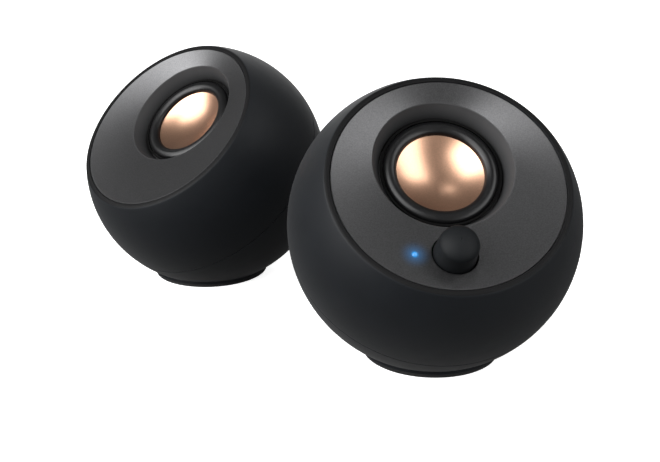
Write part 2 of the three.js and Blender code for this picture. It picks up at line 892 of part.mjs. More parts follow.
function panelBlank() {
  return roundedSlot(pocketWidth - 2 * gap, pocketHeight - 2 * gap, pocketRound - gap,
    panelBack, panelFace, pocketCentre, cornerSteps);
}

function jackHole(across) {
  return barAlong(jackNoseRadius + gap, pocketInside, panelFace + overrun, hiddenSides, across,
    pocketCentre);
}

function rightPanel() {
  const place = socketPlaces();
  const usbHole = roundedSlot(usbWidth + 2 * gap, usbHeight + 2 * gap, usbHeight / 2,
    pocketInside, panelFace + overrun, pocketCentre, domeSteps).translate([place.usb, 0, 0]);
  const [halfSlot, halfHeight] = [switchSlotWidth / 2, switchSlotHeight / 2];
  const switchHole = block([place.gain - halfSlot, pocketInside, pocketCentre - halfHeight],
    [place.gain + halfSlot, panelFace + overrun, pocketCentre + halfHeight]);
  return panelBlank().subtract(usbHole).subtract(jackHole(place.aux))
    .subtract(jackHole(place.speaker)).subtract(switchHole);
}

function leftPanel() {
  return panelBlank().subtract(jackHole(0));
}

// A flat board whose two lower corners are cut off.
function chamferedBoard(left, right, low, high, corner) {
  const outline = new THREE.Shape();
  outline.moveTo(left + corner, low);
  outline.lineTo(right - corner, low);
  outline.lineTo(right, low + corner);
  outline.lineTo(right, high);
  outline.lineTo(left, high);
  outline.lineTo(left, low + corner);
  return new THREE.ExtrudeGeometry(outline, { depth: boardThickness, bevelEnabled: false });
}

// Board from its lowest edge up, with a screw into each post.
function board(low) {
  const half = boardWidth / 2;
  const geometry = chamferedBoard(-half, half, low, boardTop, boardCorner);
  geometry.rotateX(Math.PI / 2);
  geometry.translate(0, boardRear, 0);
  const screws = [-postAcross, postAcross].map((x) =>
    screw(screwLength).rotate([90, 0, 0]).translate([x, boardFront + screwSeat, postHeight]));
  return screws.reduce((all, one) => all.add(one), solid(geometry));
}

function capacitor() {
  return barAlong(capacitorRadius, boardFront - gap - capacitorLength, boardFront - gap,
    hiddenSides, -capacitorAcross, boardTop - capacitorDrop);
}

function amplifierChip() {
  const half = chipSize / 2;
  const middle = (boardLow + boardTop) / 2;
  return block([chipAcross - half, boardFront - gap - chipHeight, middle - half],
    [chipAcross + half, boardFront - gap, middle + half]);
}

function heatSink() {
  const base = boardFront - chipHeight - 2 * gap;
  const half = heatSinkWidth / 2;
  const middle = (boardLow + boardTop) / 2;
  const foot = block([chipAcross - half, base - finBase, middle - half],
    [chipAcross + half, base, middle + half]);
  const pitch = (heatSinkWidth - finThickness) / (finCount - 1);
  return Array.from({ length: finCount }, (_, i) => chipAcross - half + i * pitch)
    .map((x) => block([x, base - finBase - finHeight, middle - half],
      [x + finThickness, base, middle + half]))
    .reduce((all, one) => all.add(one), foot);
}

// Volume control, drawn about its own axis with heights from the ball's centre
function knob() {
  const top = knobSurface + knobHeight;
  const domeStart = top - knobDome;
  const dome = Array.from({ length: domeSteps + 1 }, (_, i) => {
    const angle = (Math.PI / 2) * (i / domeSteps);
    const radius = i === domeSteps ? 0 : (knobRadius - knobTaper) * Math.cos(angle);
    return [radius, domeStart + knobDome * Math.sin(angle)];
  });
  const boreTop = knobBottom + knobBoreDepth;
  return revolve([
    [0, boreTop],
    [shaftRadius + gap, boreTop],
    [shaftRadius + gap, knobBottom],
    [knobRadius, knobBottom],
    ...dome,
  ], ringSides);
}

function volumeShaft() {
  return bar(shaftRadius, potBottom + potFloor + gap, knobBottom + knobBoreDepth - gap,
    hiddenSides);
}

function potentiometer() {
  return bar(potRadius, potBottom, potTop, hiddenSides)
    .subtract(bar(shaftRadius + gap, potBottom + potFloor, potTop + overrun, hiddenSides));
}

function lightPipe() {
  return revolve([
    [0, controlBoardTop + gap],
    [lightBase, controlBoardTop + gap],
    [lightBase, controlBoardTop + gap + lightBaseHeight],
    [lightRadius, controlBoardTop + gap + lightBaseHeight],
    [lightRadius, lightSurface],
    [0, lightSurface + lightDome],
  ], smallSides);
}

function controlBoard() {
  const [left, right] = [lightAcross - controlBoardBeside, knobAcross + controlBoardBeyond];
  const low = -knobDrop - controlBoardBelow;
  const geometry = chamferedBoard(left, right, low, low + controlBoardHeight, controlBoardCorner);
  return solid(geometry.translate(0, 0, controlBoardBottom));
}

function controlGroup() {
  const group = new THREE.Group();
  const knobAxis = new THREE.Group();
  knobAxis.position.set(knobAcross, -knobDrop, 0);
  knobAxis.add(
    piece('right_volume_knob', knob(), knobRubber),
    piece('right_volume_shaft', volumeShaft(), plainSteel),
    piece('right_potentiometer', potentiometer(), socketPlastic),
  );
  const lens = piece('right_status_light', lightPipe(), lightLens);
  lens.position.set(lightAcross, -lightDrop, 0);
  group.add(knobAxis, lens, piece('right_control_board', controlBoard(), boardLaminate));
  return group;
}

// What every speaker has
function speaker(side, plate) {
  const stand = new THREE.Group();
  const ball = new THREE.Group();
  const face = new THREE.Group();
  ball.position.z = ballHeight;
  face.rotation.x = Math.PI / 2 - faceTilt;
  face.add(
    piece(`${side}_front_shell`, frontShell(), shellPlastic),
    piece(`${side}_faceplate`, plate, platePlastic),
    piece(`${side}_inner_frame`, innerFrame(), framePlastic),
    ...frameScrews(side),
    driverGroup(side),
  );
  ball.add(
    face,
    piece(`${side}_rear_shell`, rearShell(), shellPlastic),
    radiatorGroup(side),
  );
  stand.add(ball, piece(`${side}_rubber_foot`, foot(), footRubber));
  return { stand, ball, face };
}

function rightSpeaker() {
  const { stand, ball, face } = speaker('right', controlFaceplate());
  const place = socketPlaces();
  face.add(controlGroup());
  ball.add(
    piece('right_socket_panel', rightPanel(), framePlastic),
    piece('right_main_board', board(boardLow), boardLaminate),
    piece('right_usb_socket', usbSocket(place.usb), socketSteel),
    piece('right_aux_jack', jackBody(place.aux), socketPlastic),
    piece('right_speaker_jack', jackBody(place.speaker), socketPlastic),
    piece('right_gain_switch', gainSwitch(place.gain), socketPlastic),
    piece('right_gain_slider', gainSlider(place.gain), socketPlastic),
    piece('right_capacitor', capacitor(), canAluminium),
    piece('right_amplifier_chip', amplifierChip(), chipEpoxy),
    piece('right_heat_sink', heatSink(), canAluminium),
  );
  return stand;
}

function leftSpeaker() {
  const { stand, ball } = speaker('left', faceplate());
  ball.add(
    piece('left_socket_panel', leftPanel(), framePlastic),
    piece('left_terminal_board', board(boardTop - terminalHeight), boardLaminate),
    piece('left_input_jack', jackBody(0), socketPlastic),
  );
  stand.position.set(leftAcross, leftBack, 0);
  stand.rotation.z = leftTurn;
  return stand;
}

const pair = new THREE.Group();
pair.add(rightSpeaker(), leftSpeaker());

export default pair;
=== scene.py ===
"""A pair of ball-shaped desktop speakers, dressed around their packed model.

Lengths are in metres. The origin is the centre of the right speaker's foot, which looks along -Y.
"""

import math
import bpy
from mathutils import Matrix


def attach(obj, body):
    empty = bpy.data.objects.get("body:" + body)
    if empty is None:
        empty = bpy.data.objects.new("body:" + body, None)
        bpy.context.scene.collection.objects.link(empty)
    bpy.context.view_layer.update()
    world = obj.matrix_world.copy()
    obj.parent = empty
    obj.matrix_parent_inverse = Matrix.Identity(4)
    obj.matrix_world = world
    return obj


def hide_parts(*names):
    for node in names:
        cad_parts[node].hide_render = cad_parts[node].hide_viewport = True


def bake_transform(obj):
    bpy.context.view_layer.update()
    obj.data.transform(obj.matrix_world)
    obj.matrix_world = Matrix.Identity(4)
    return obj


bl_info = {
    "name": "Ball Speaker Pair",
    "version": (1, 0, 0),
    "blender": (4, 5, 0),
    "location": "View3D > Sidebar > Speakers",
    "description": "Builds the surfaces, finishes and stage of a pair of ball-shaped speakers",
    "category": "Add Mesh",
}

import bmesh
import bpy
import numpy as np
from bpy.props import FloatProperty, FloatVectorProperty, PointerProperty
from bpy.types import Operator, Panel, PropertyGroup
from mathutils import Matrix, Vector

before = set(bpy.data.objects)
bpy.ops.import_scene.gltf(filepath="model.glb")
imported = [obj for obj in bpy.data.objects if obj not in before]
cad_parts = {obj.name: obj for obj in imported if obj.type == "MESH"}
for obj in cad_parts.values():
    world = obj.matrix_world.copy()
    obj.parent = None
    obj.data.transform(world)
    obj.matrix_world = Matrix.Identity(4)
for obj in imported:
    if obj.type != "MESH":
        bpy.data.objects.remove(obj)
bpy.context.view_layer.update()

SIDES = ("right", "left")
ROOT = "cabinets"
GAP = 0.0003

# Facets round a full turn
BALL_SIDES = 176
RING_SIDES = 112
INNER_SIDES = 96
SMALL_SIDES = 48
LENS_SIDES = 32
BORE_SIDES = 24
ROUND_STEPS = 5

# Roundings of edges, from the finest to the softest
HAIR = 0.0001
FINE = 0.00015
KEEN = 0.0002
TRIM = 0.00025
EDGE = 0.0003
WIDE = 0.0004
SOFT = 0.0005

# How far cutters run past the ball, as a share of its radius, and how far the cutter of a rounded
# mouth spreads, in roundings
PAST = 1.2
FLARE = 3
WELD = 1e-7
CREASE = math.radians(32)
ADD, CUT, WITHIN = "UNION", "DIFFERENCE", "INTERSECT"


def linear(code):
    """An sRGB hex colour as linear red, green and blue."""
    values = np.array([int(code[i : i + 2], 16) for i in (1, 3, 5)]) / 255
    curved = ((values + 0.055) / 1.055) ** 2.4
    return tuple(float(v) for v in np.where(values <= 0.04045, values / 12.92, curved))


def place(name, description, default, **limits):
    """A signed distance in metres."""
    told = {"name": name, "description": description, "default": default}
    return FloatProperty(**told, precision=5, unit="LENGTH", **limits)


def length(name, description, default):
    """A size in metres."""
    return place(name, description, default, min=0)


def turn(name, description, degrees):
    """An angle, given in degrees."""
    default = math.radians(degrees)
    return FloatProperty(name=name, description=description, default=default, subtype="ANGLE")


def colour(name, description, code):
    """A colour from its sRGB hex value."""
    told = {"name": name, "description": description, "default": linear(code)}
    return FloatVectorProperty(**told, subtype="COLOR", min=0, max=1)


def level(name, description, default, unit="NONE"):
    """A number from nought up, in the unit if there is one."""
    return FloatProperty(name=name, description=description, default=default, min=0, unit=unit)


class CabinetSizes(PropertyGroup):
    """Sizes of the ball, its neck and foot, and where the pair stands"""

    ball: length("Ball Radius", "Outside radius of the ball", 0.0615)
    wall: length("Wall", "Thickness of the ball's wall", 0.0024)
    tilt: turn("Face Tilt", "How far the face leans back", 45)
    rim: length("Rim Radius", "Radius at which the face cuts the ball", 0.048708)
    lip: length("Lip Width", "Width of the lip round the face", 0.0021)
    lip_round: length("Lip Round", "Rounding of the lip's outer edge", 0.001)
    ledge: length("Ledge", "Thickness of the ledge under the frame", 0.002)
    ledge_width: length("Ledge Width", "Width of that ledge", 0.0031)
    clamp: length("Clamp", "Thickness of the frame's flange", 0.0012)
    seam: length("Seam Drop", "How far the seam lies behind the centre", 0.0035)
    seam_round: length("Seam Round", "Rounding of the seam's edges", 0.00025)
    tongue: length("Tongue Rise", "Reach of the rear shell's tongue", 0.003)
    tongue_wall: length("Tongue Wall", "Thickness of the tongue", 0.0014)
    tongue_root: length("Tongue Root", "How far the tongue runs back", 0.0045)
    tower: length("Tower Radius", "Radius of the screw towers", 0.0036)
    tower_circle: length("Tower Circle", "Radius on which they stand", 0.037008)
    tower_angle: turn("Tower Angle", "Angle of the towers from level", 30)
    tower_drop: length("Tower Drop", "How far they end below the driver", 0.0046)
    bore: length("Screw Bore", "Radius of the bores for screws", 0.0015)
    neck: length("Neck Radius", "Radius of the neck below the ball", 0.0301965)
    neck_height: length("Neck Height", "Height of neck and foot together", 0.0033)
    floor: length("Floor", "Thickness of the neck's floor", 0.0024)
    foot: length("Foot Radius", "Radius of the rubber foot", 0.0293965)
    foot_height: length("Foot Height", "Thickness of the foot", 0.0015)
    left_across: place("Left Across", "Left speaker's place across", -0.0946)
    left_back: place("Left Back", "Left speaker's place towards the back", 0.116)
    left_turn: turn("Left Turn", "How far the left speaker is turned", -47)


class FaceSizes(PropertyGroup):
    """Sizes of the dished faceplate, its recess, the knob and the light"""

    sink: length("Plate Sink", "How far the plate lies below the rim", 0.0003)
    depth: length("Dish Depth", "Fall from the plate's edge to the recess", 0.0039)
    thickness: length("Plate Thickness", "Thickness of the dish", 0.002)
    skirt: length("Skirt", "Depth of the plate's skirt", 0.0059)
    skirt_wall: length("Skirt Wall", "Thickness of the skirt", 0.0018)
    recess: length("Recess Radius", "Radius of the recess", 0.0285916)
    recess_round: length("Recess Round", "Rounding of its edge", 0.0003)
    funnel: length("Funnel Depth", "Depth of the recess", 0.0077)
    funnel_wall: length("Funnel Wall", "Thickness of its wall", 0.0016)
    rise: length("Driver Rise", "Driver's place above the middle", 0.01018)
    knob_across: place("Knob Across", "Knob's place across", -0.0017)
    knob_drop: length("Knob Drop", "Knob's place below the middle", 0.0305886)
    knob: length("Knob Radius", "Radius of the knob at its foot", 0.0085)
    knob_height: length("Knob Height", "Height above the plate", 0.0127)
    knob_dome: length("Knob Dome", "Height of its domed top", 0.0046)
    knob_sink: length("Knob Sink", "Depth of its foot in the plate", 0.0015)
    knob_taper: length("Knob Taper", "How much narrower it is above", 0.0008)
    knob_clearance: length("Knob Clearance", "Gap round its foot", 0.0004)
    knob_bore: length("Knob Bore", "Depth of its bore", 0.007)
    shaft: length("Shaft Radius", "Radius of the volume shaft", 0.003)
    light_across: place("Light Across", "Light's place across", -0.0172)
    light_drop: length("Light Drop", "Light's place below the middle", 0.030199)
    light: length("Light Radius", "Radius of the light's lens", 0.0011)
    light_dome: length("Light Dome", "Height of the lens", 0.00035)
    light_base: length("Light Base", "Radius of the light pipe's foot", 0.0016)


class DriverSizes(PropertyGroup):
    """Sizes of the driver, measured from the top of its flange"""

    cone: length("Cone Radius", "Radius of the dished cone", 0.0181916)
    cone_depth: length("Cone Depth", "Depth of the dished cone", 0.0046)
    cone_wall: length("Cone Wall", "Thickness of the cone", 0.0007)
    roll_outer: length("Roll Outer", "Outer radius of the surround", 0.0236916)
    roll_height: length("Roll Height", "Height of the surround", 0.0022)
    roll_wall: length("Roll Wall", "Thickness of the surround", 0.0006)
    roll_lip: length("Roll Lip", "Width of its glued lip", 0.0009)
    gasket: length("Gasket Width", "Width of the gasket", 0.0009)
    gasket_height: length("Gasket Height", "Thickness of the gasket", 0.0006)
    spider_inner: length("Spider Inner", "Inner radius of the spider", 0.0073)
    spider_outer: length("Spider Outer", "Outer radius of the spider", 0.0149)
    spider_high: place("Spider Inner Height", "Height of its inner edge", -0.009)
    spider_low: place("Spider Outer Height", "Height of its outer edge", -0.0106)
    spider_wall: length("Spider Thickness", "Thickness of its cloth", 0.0004)


class RadiatorSizes(PropertyGroup):
    """Sizes of the passive radiator at the back"""

    radius: length("Frame Radius", "Outside radius of the frame", 0.0255225)
    thickness: length("Frame Thickness", "Thickness of the frame", 0.0022)
    land: length("Frame Width", "Width of the frame's ring", 0.005)
    ledge: length("Ledge", "Thickness of the ledge behind the frame", 0.0022)
    ledge_width: length("Ledge Width", "Width of that ledge", 0.0034)
    boss: length("Boss Wall", "Wall round the frame's seat", 0.0024)
    roll: length("Roll Width", "Width of the surround", 0.006)
    roll_height: length("Roll Height", "Height of the surround", 0.0026)
    roll_wall: length("Roll Wall", "Thickness of the surround", 0.0007)
    plate: length("Plate Thickness", "Thickness of the plate", 0.0016)
    plate_inset: length("Plate Inset", "Height of the plate's back", 0.0002)
    dish: length("Plate Dish", "Depth of the pressing in the plate", 0.0004)
    weight: length("Weight Radius", "Radius of the plate's weight", 0.007)
    weight_height: length("Weight Height", "Height of the weight", 0.0025)


class SocketSizes(PropertyGroup):
    """Sizes of the socket pocket and of what sits in it"""

    angle: turn("Pocket Angle", "How far below the middle it lies", 38.7)
    width: length("Pocket Width", "Width of the pocket", 0.038)
    height: length("Pocket Height", "Height of the pocket", 0.011)
    corner: length("Pocket Corner", "Corner radius of the pocket", 0.0025)
    wall: length("Pocket Wall", "Thickness of the pocket's wall", 0.002)
    edge: length("Pocket Edge", "Rounding of the pocket's mouth", 0.0005)
    inset: length("Panel Inset", "How far the panel lies inside", 0.0005)
    panel: length("Panel Thickness", "Thickness of the panel", 0.0012)
    margin: length("Window Margin", "Ledge round the pocket's floor", 0.0015)
    post: length("Post Radius", "Radius of the board's posts", 0.0028)
    post_across: length("Post Across", "Posts' place each side", 0.0205)
    post_height: place("Post Height", "Posts' place up", -0.01744)
    body: length("Jack Body", "Width and length of a jack's body", 0.0064)
    nose: length("Jack Nose", "Radius of a jack's nose", 0.0029)
    bore: length("Jack Bore", "Radius of a jack's bore", 0.00175)
    usb_width: length("Power Socket Width", "Width of its shell", 0.009)
    usb_height: length("Power Socket Height", "Height of its shell", 0.0033)
    usb_wall: length("Power Socket Wall", "Thickness of its shell", 0.0004)
    usb_tongue: length("Power Socket Tongue", "Thickness of its tongue", 0.0008)
    switch_width: length("Switch Width", "Width of the switch", 0.007)
    switch_height: length("Switch Height", "Height of the switch", 0.004)
    slot_width: length("Slot Width", "Width of the switch's slot", 0.0052)
    slot_height: length("Slot Height", "Height of that slot", 0.0022)
    slider_width: length("Slider Width", "Width of the slider", 0.0026)
    slider_height: length("Slider Height", "Height of the slider", 0.0016)
    slider_reach: length("Slider Reach", "How far it stands out", 0.0012)


class FinishColours(PropertyGroup):
    """Colours of the finishes"""

    shell: colour("Shell", "Matt paint on the ball", "#0a0d11")
    plate: colour("Faceplate", "Flake paint on the faceplate", "#555556")
    cone: colour("Cone", "Copper anodising of the cone", "#daaa8b")
    rubber: colour("Surround", "Rubber of the surround", "#0a0a0b")
    knob: colour("Knob", "Soft coat of the knob", "#0e1012")
    light: colour("Light", "Glow of the status light", "#1f9cf0")
    floor: colour("Floor", "Paint of the studio floor", "#f4f4f4")


class StageSettings(PropertyGroup):
    """Light and camera of the studio"""

    lens: level("Lens", "Focal length in millimetres on a 36 mm sensor", 53.83, "CAMERA")
    roll: turn("Roll", "How far the camera leans", -0.368)
    fill: level("Fill", "Light from the surroundings", 0.12)
    right: level("Right Light", "Watts of the front right softbox", 10.3, "POWER")
    left: level("Left Light", "Watts of the front left softbox", 30.0, "POWER")
    side: level("Side Light", "Watts of the softbox on the left", 7.4, "POWER")
    front: level("Front Light", "Watts of the low front softbox", 3.5, "POWER")
    top: level("Top Light", "Watts of the small light overhead", 0.24, "POWER")
    back: level("Back Light", "Watts of the softbox behind", 7.0, "POWER")
    glow: level("Floor Glow", "Light that the floor adds of its own", 0.85)


# Shapes: a grid has rows along a profile and columns along the turn


def sizes(*groups):
    """The scene's groups of sizes with these names, or the one alone."""
    found = [getattr(bpy.context.scene, f"speaker_{group}") for group in groups]
    return found if len(found) > 1 else found[0]


def soften(run, cuts, closed=False, steps=ROUND_STEPS):
    """Rounds corners of a run of points, or of whole rings of points.

    A corner with a cut c becomes the parabola (1-t)^2 A + 2t(1-t) P + t^2 B, where P is the corner
    and A and B lie c before and after it.
    """
    run = np.asarray(run, float)
    t = np.linspace(0, 1, steps + 1).reshape((-1,) + (1,) * (run.ndim - 1))
    rows = []
    for i, cut in enumerate(cuts):
        corner = run[i]
        if cut == 0 or (not closed and i in (0, len(run) - 1)):
            rows.append(corner[None])
            continue
        back, on = run[i - 1] - corner, run[(i + 1) % len(run)] - corner
        a = corner + back * cut / np.linalg.norm(back, axis=-1, keepdims=True)
        b = corner + on * cut / np.linalg.norm(on, axis=-1, keepdims=True)
        rows.append((1 - t) ** 2 * a + 2 * t * (1 - t) * corner + t**2 * b)
    return np.concatenate(rows)


def sphere_arc(radius, low, high, steps):
    """Profile points of a sphere between two heights: radius times (cos a, sin a)."""
    a = np.linspace(*np.arcsin(np.clip([low / radius, high / radius], -1, 1)), steps + 1)
    return radius * np.stack([np.cos(a), np.sin(a)], 1)


def ellipse(middle, base, across, high, a):
    """Profile points of an ellipse at angles a: (middle + across cos a, base + high sin a)."""
    return np.stack([middle + across * np.cos(a), base + high * np.sin(a)], 1)


def around(sides):
    """Angles of one full turn, without the last."""
    return np.linspace(0, 2 * np.pi, sides, endpoint=False)


def quads(rows, columns, closed):
    """Faces between neighbouring rows and columns; columns always close, rows if asked."""
    i = np.arange(rows if closed else rows - 1)[:, None]
    k = np.arange(columns)[None]
    j, n = (i + 1) % rows, (k + 1) % columns
    corners = [i * columns + k, i * columns + n, j * columns + n, j * columns + k]
    return np.stack(np.broadcast_arrays(*corners), -1).reshape(-1, 4).tolist()


def mesh_of(grid, faces):
    """A closed mesh from a grid: seams and poles welded, faces turned outwards."""
    mesh = bpy.data.meshes.new("form")
    mesh.from_pydata(grid.reshape(-1, 3), [], faces)
    work = bmesh.new()
    work.from_mesh(mesh)
    bmesh.ops.remove_doubles(work, verts=work.verts, dist=WELD)
    bmesh.ops.recalc_face_normals(work, faces=work.faces)
    work.to_mesh(mesh)
    work.free()
    return mesh


def skin(grid):
    """The mesh of a grid whose last row joins the first; rows on the axis close to a point."""
    return mesh_of(grid, quads(*grid.shape[:2], True))


def capped(grid):
    """The mesh of a grid whose first and last rows are filled."""
    rows, columns = grid.shape[:2]
    ends = [list(range(columns)), list(range((rows - 1) * columns, rows * columns))]
    return mesh_of(grid, quads(rows, columns, False) + ends)


def turned(*parts, sides=RING_SIDES):
    """The mesh of a closed profile turned about Z: (r cos a, r sin a, h) for each point (r, h).

    A part is a point or a row of points, and a third number rounds its corner by that cut.
    """
    parts = [np.atleast_2d(np.asarray(part, float)) for part in parts]
    run = np.concatenate([np.pad(part, ((0, 0), (0, 3 - part.shape[1]))) for part in parts])
    profile = soften(run[:, :2], run[:, 2], closed=True)
    r, h, a = profile[:, :1], profile[:, 1:], around(sides)
    return skin(np.stack([r * np.cos(a), r * np.sin(a), h + 0 * a], -1))


def moved(mesh, x=0.0, y=0.0, z=0.0):
    """The mesh, shifted."""
    mesh.transform(Matrix.Translation((x, y, z)))
    return mesh


def along_back(mesh, x=0.0, z=0.0):
    """Lays a mesh that was turned about Z along Y instead, at a place across and up."""
    mesh.transform(Matrix.Translation((x, 0, z)) @ Matrix.Rotation(-math.pi / 2, 4, "X"))
    return mesh


def rod(radius, low, high, sides=SMALL_SIDES, x=0.0, y=0.0):
    """A round bar along Z between two heights."""
    return moved(turned((0, low), (radius, low), (radius, high), (0, high), sides=sides), x, y)


def slot_ring(width, height, corner, depth, grown=0.0, steps=9):
    """A rounded oblong in X and Z at a depth along Y: quarter circles round four corner centres."""
    x, z = np.array([(1, 1), (-1, 1), (-1, -1), (1, -1)]).T[..., None]
    a = np.linspace(0, np.pi / 2, steps) + np.arange(4)[:, None] * np.pi / 2
    across = x * (width / 2 - corner) + (corner + grown) * np.cos(a)
    up = z * (height / 2 - corner) + (corner + grown) * np.sin(a)
    ring = np.stack([across, 0 * a, up], -1).reshape(-1, 3)
    ring[:, 1] = depth(ring) if callable(depth) else depth
    return ring


def slot_bar(width, height, corner, near, far, cut=0.0, x=0.0, z=0.0, grown=0.0):
    """A rounded oblong bar along Y between two depths, its two ends rounded off by a cut."""
    rings = [slot_ring(width, height, corner, depth, grown) for depth in (near, far)]
    if cut:
        inner = grown - min(corner + grown, 2 * cut)
        ends = [slot_ring(width, height, corner, depth, inner) for depth in (near, far)]
        rings = soften(np.array([ends[0], *rings, ends[1]]), [0, cut, cut, 0])
    return capped(np.array(rings) + np.array([x, 0, z]))


def joined(*meshes):
    """Several meshes as one."""
    work = bmesh.new()
    for mesh in meshes:
        work.from_mesh(mesh)
    whole = bpy.data.meshes.new("joined")
    work.to_mesh(whole)
    work.free()
    return whole


def carved(base, *steps):
    """The base mesh joined with, cut by or kept within other meshes, one after another."""
    collection = bpy.context.scene.collection
    used = [bpy.data.objects.new("carving", base)]
    for operation, mesh in steps:
        used.append(bpy.data.objects.new("tool", mesh))
        modifier = used[0].modifiers.new(operation, "BOOLEAN")
        modifier.operation, modifier.object, modifier.solver = operation, used[-1], "MANIFOLD"
    for obj in used:
        collection.objects.link(obj)
    graph = bpy.context.evaluated_depsgraph_get()
    result = bpy.data.meshes.new_from_object(used[0].evaluated_get(graph))
    for obj in used:
        bpy.data.objects.remove(obj)
    return result


def triples(items, key):
    """A vector of each vertex or face of a mesh, one row each."""
    values = np.empty(3 * len(items))
    items.foreach_get(key, values)
    return values.reshape(-1, 3)


def piece(node, mesh, matrix, finish, body=ROOT, part=None, name=None, takes=True):
    """Puts a mesh in place as a piece of the object, in the finish of one of the record's slots.

    It takes its node's place, unless another piece does. A part is a second finish and a function
    that tells which faces wear it.
    """
    form = mesh.copy()
    form.name = name or f"{node}_form"
    form.transform(matrix)
    form.materials.clear()
    form.materials.append(finish_for(finish))
    if part:
        form.materials.append(finish_for(part[0]))
        form.polygons.foreach_set("material_index", part[1](mesh).astype(np.int32))
    form.shade_smooth()
    form.set_sharp_from_angle(angle=CREASE)
    obj = bpy.data.objects.new(form.name, form)
    bpy.context.scene.collection.objects.link(obj)
    if takes:
        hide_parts(node)
    if body:
        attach(obj, body)
    return obj


def rolling(node, forms, at):
    """Puts a surround's two rings in place, on no body, their places baked into their meshes."""
    names, rubber = (f"{node}_outer_form", f"{node}_inner_form"), "surround_rubber"
    outer = piece(node, forms[0], at, rubber, None, name=names[0])
    inner = piece(node, forms[1], at, rubber, None, name=names[1], takes=False)
    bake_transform(outer)
    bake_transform(inner)


# Places


def stand_place(side):
    """Where a speaker stands on the desk."""
    size = sizes("cabinet")
    if side == "right":
        return Matrix.Identity(4)
    spot = Matrix.Translation((size.left_across, size.left_back, 0))
    return spot @ Matrix.Rotation(size.left_turn, 4, "Z")


def centre_height():
    """Height of the ball's centre: the neck cuts the ball where its radius is the neck's."""
    size = sizes("cabinet")
    return math.sqrt(size.ball**2 - size.neck**2) + size.neck_height


def ball_place(side):
    """The ball's upright axes."""
    return stand_place(side) @ Matrix.Translation((0, 0, centre_height()))


def face_turn():
    """From the face's axes, with Z along its normal, to the ball's upright axes."""
    return Matrix.Rotation(math.pi / 2 - sizes("cabinet").tilt, 4, "X")


def face_place(side):
    """The face's axes."""
    return ball_place(side) @ face_turn()


def rim_height():
    """Height of the rim's plane above the ball's centre, along the face's normal."""
    size = sizes("cabinet")
    return math.sqrt(size.ball**2 - size.rim**2)


def plate_radius():
    """Radius of the faceplate, a gap inside the lip."""
    size = sizes("cabinet")
    return size.rim - size.lip - GAP


def plate_top():
    """Height of the faceplate's edge along the face's normal."""
    return rim_height() - sizes("face").sink


def dish_height(x, y):
    """Height of the dish at points of the face: an oblique cone falls by depth times share.

    The ring at share s has radius R - (R - r) s about a centre that has risen by d s, so the share
    at (x, y) solves x^2 + (y - d s)^2 = (R - (R - r) s)^2.
    """
    face, outer = sizes("face"), plate_radius()
    shrink = outer - face.recess
    a = face.rise**2 - shrink**2
    b = 2 * (outer * shrink - y * face.rise)
    c = x**2 + y**2 - outer**2
    share = (-b + np.sqrt(b**2 - 4 * a * c)) / (2 * a)
    return plate_top() - face.depth * share


def flange_height():
    """Height of the driver's flange along the face's normal."""
    face = sizes("face")
    return plate_top() - face.depth - face.funnel - GAP


def tower_top():
    """Height of the screw towers' tops along the face's normal."""
    return flange_height() - sizes("cabinet").tower_drop


def driver_place(side):
    """The driver's axes, with the top of its flange at nought."""
    return face_place(side) @ Matrix.Translation((0, sizes("face").rise, flange_height()))


def radiator_mouth():
    """Depth behind the ball's centre at which the radiator's seat opens."""
    return math.sqrt(sizes("cabinet").ball ** 2 - (sizes("radiator").radius + GAP) ** 2)


def radiator_seat():
    """Depth of the radiator's seat behind the ball's centre."""
    return radiator_mouth() - sizes("radiator").thickness - GAP


def radiator_place(side):
    """The radiator's axes: Z points straight back, with its seat's face at nought."""
    back = Matrix.Translation((0, radiator_seat() + GAP, 0))
    return ball_place(side) @ back @ Matrix.Rotation(-math.pi / 2, 4, "X")


def pocket_middle():
    """Height of the pocket's middle in the ball's axes."""
    return -sizes("cabinet").ball * math.sin(sizes("sockets").angle)


def panel_face():
    """Depth of the panel's face behind the ball's centre."""
    size, ball = sizes("sockets"), sizes("cabinet").ball
    low = pocket_middle() - size.height / 2
    return math.sqrt(ball**2 - low**2 - (size.width / 2) ** 2) - size.inset


def pocket_floor():
    """Depth of the pocket's floor, on which the panel lies."""
    return panel_face() - sizes("sockets").panel - GAP


def jack_back():
    """Depth of the back of the jacks' bodies."""
    size = sizes("sockets")
    return pocket_floor() - size.wall - GAP - size.body


SOCKET_SHARES = {"power": -0.34, "aux": -0.08, "speaker": 0.12, "gain": 0.35, "input": 0.0}


def socket_across(name):
    """How far a socket lies from the pocket's middle."""
    return SOCKET_SHARES[name] * sizes("sockets").width


# Forms, each drawn in its own axes; the smallest sizes of each are named in its own first line


def front_shell_form(rows=52, inner_rows=16, below_rim=1.1):
    """The ball's front: a band of a sphere with a lip round the face and a ledge inside."""
    size = sizes("cabinet")
    inner_ball, seam = size.ball - size.wall, -size.seam + GAP / 2
    land_top = -size.seam - GAP / 2 + size.tongue + GAP
    land = math.sqrt(inner_ball**2 - land_top**2)
    rim, lip = rim_height(), size.rim - size.lip
    ledge_top = plate_top() - sizes("face").skirt - size.clamp - 2 * GAP
    ledge_in, ledge_low = lip - size.ledge_width, ledge_top - size.ledge
    outer = sphere_arc(size.ball, seam, rim - below_rim * size.lip_round, rows)
    return turned(
        (*outer[0], size.seam_round),
        outer[1:],
        [(size.rim, rim, size.lip_round), (lip, rim, EDGE)],
        [(lip, ledge_top), (ledge_in, ledge_top), (ledge_in, ledge_low)],
        sphere_arc(inner_ball, ledge_low, land_top, inner_rows),
        (land, seam),
        sides=BALL_SIDES,
    )


def on_lip(mesh, share=0.3):
    """Which faces of a front shell are its lip: those about as high as the rim."""
    lowest = rim_height() - share * sizes("cabinet").lip_round
    return triples(mesh.polygons, "center")[:, 2] > lowest


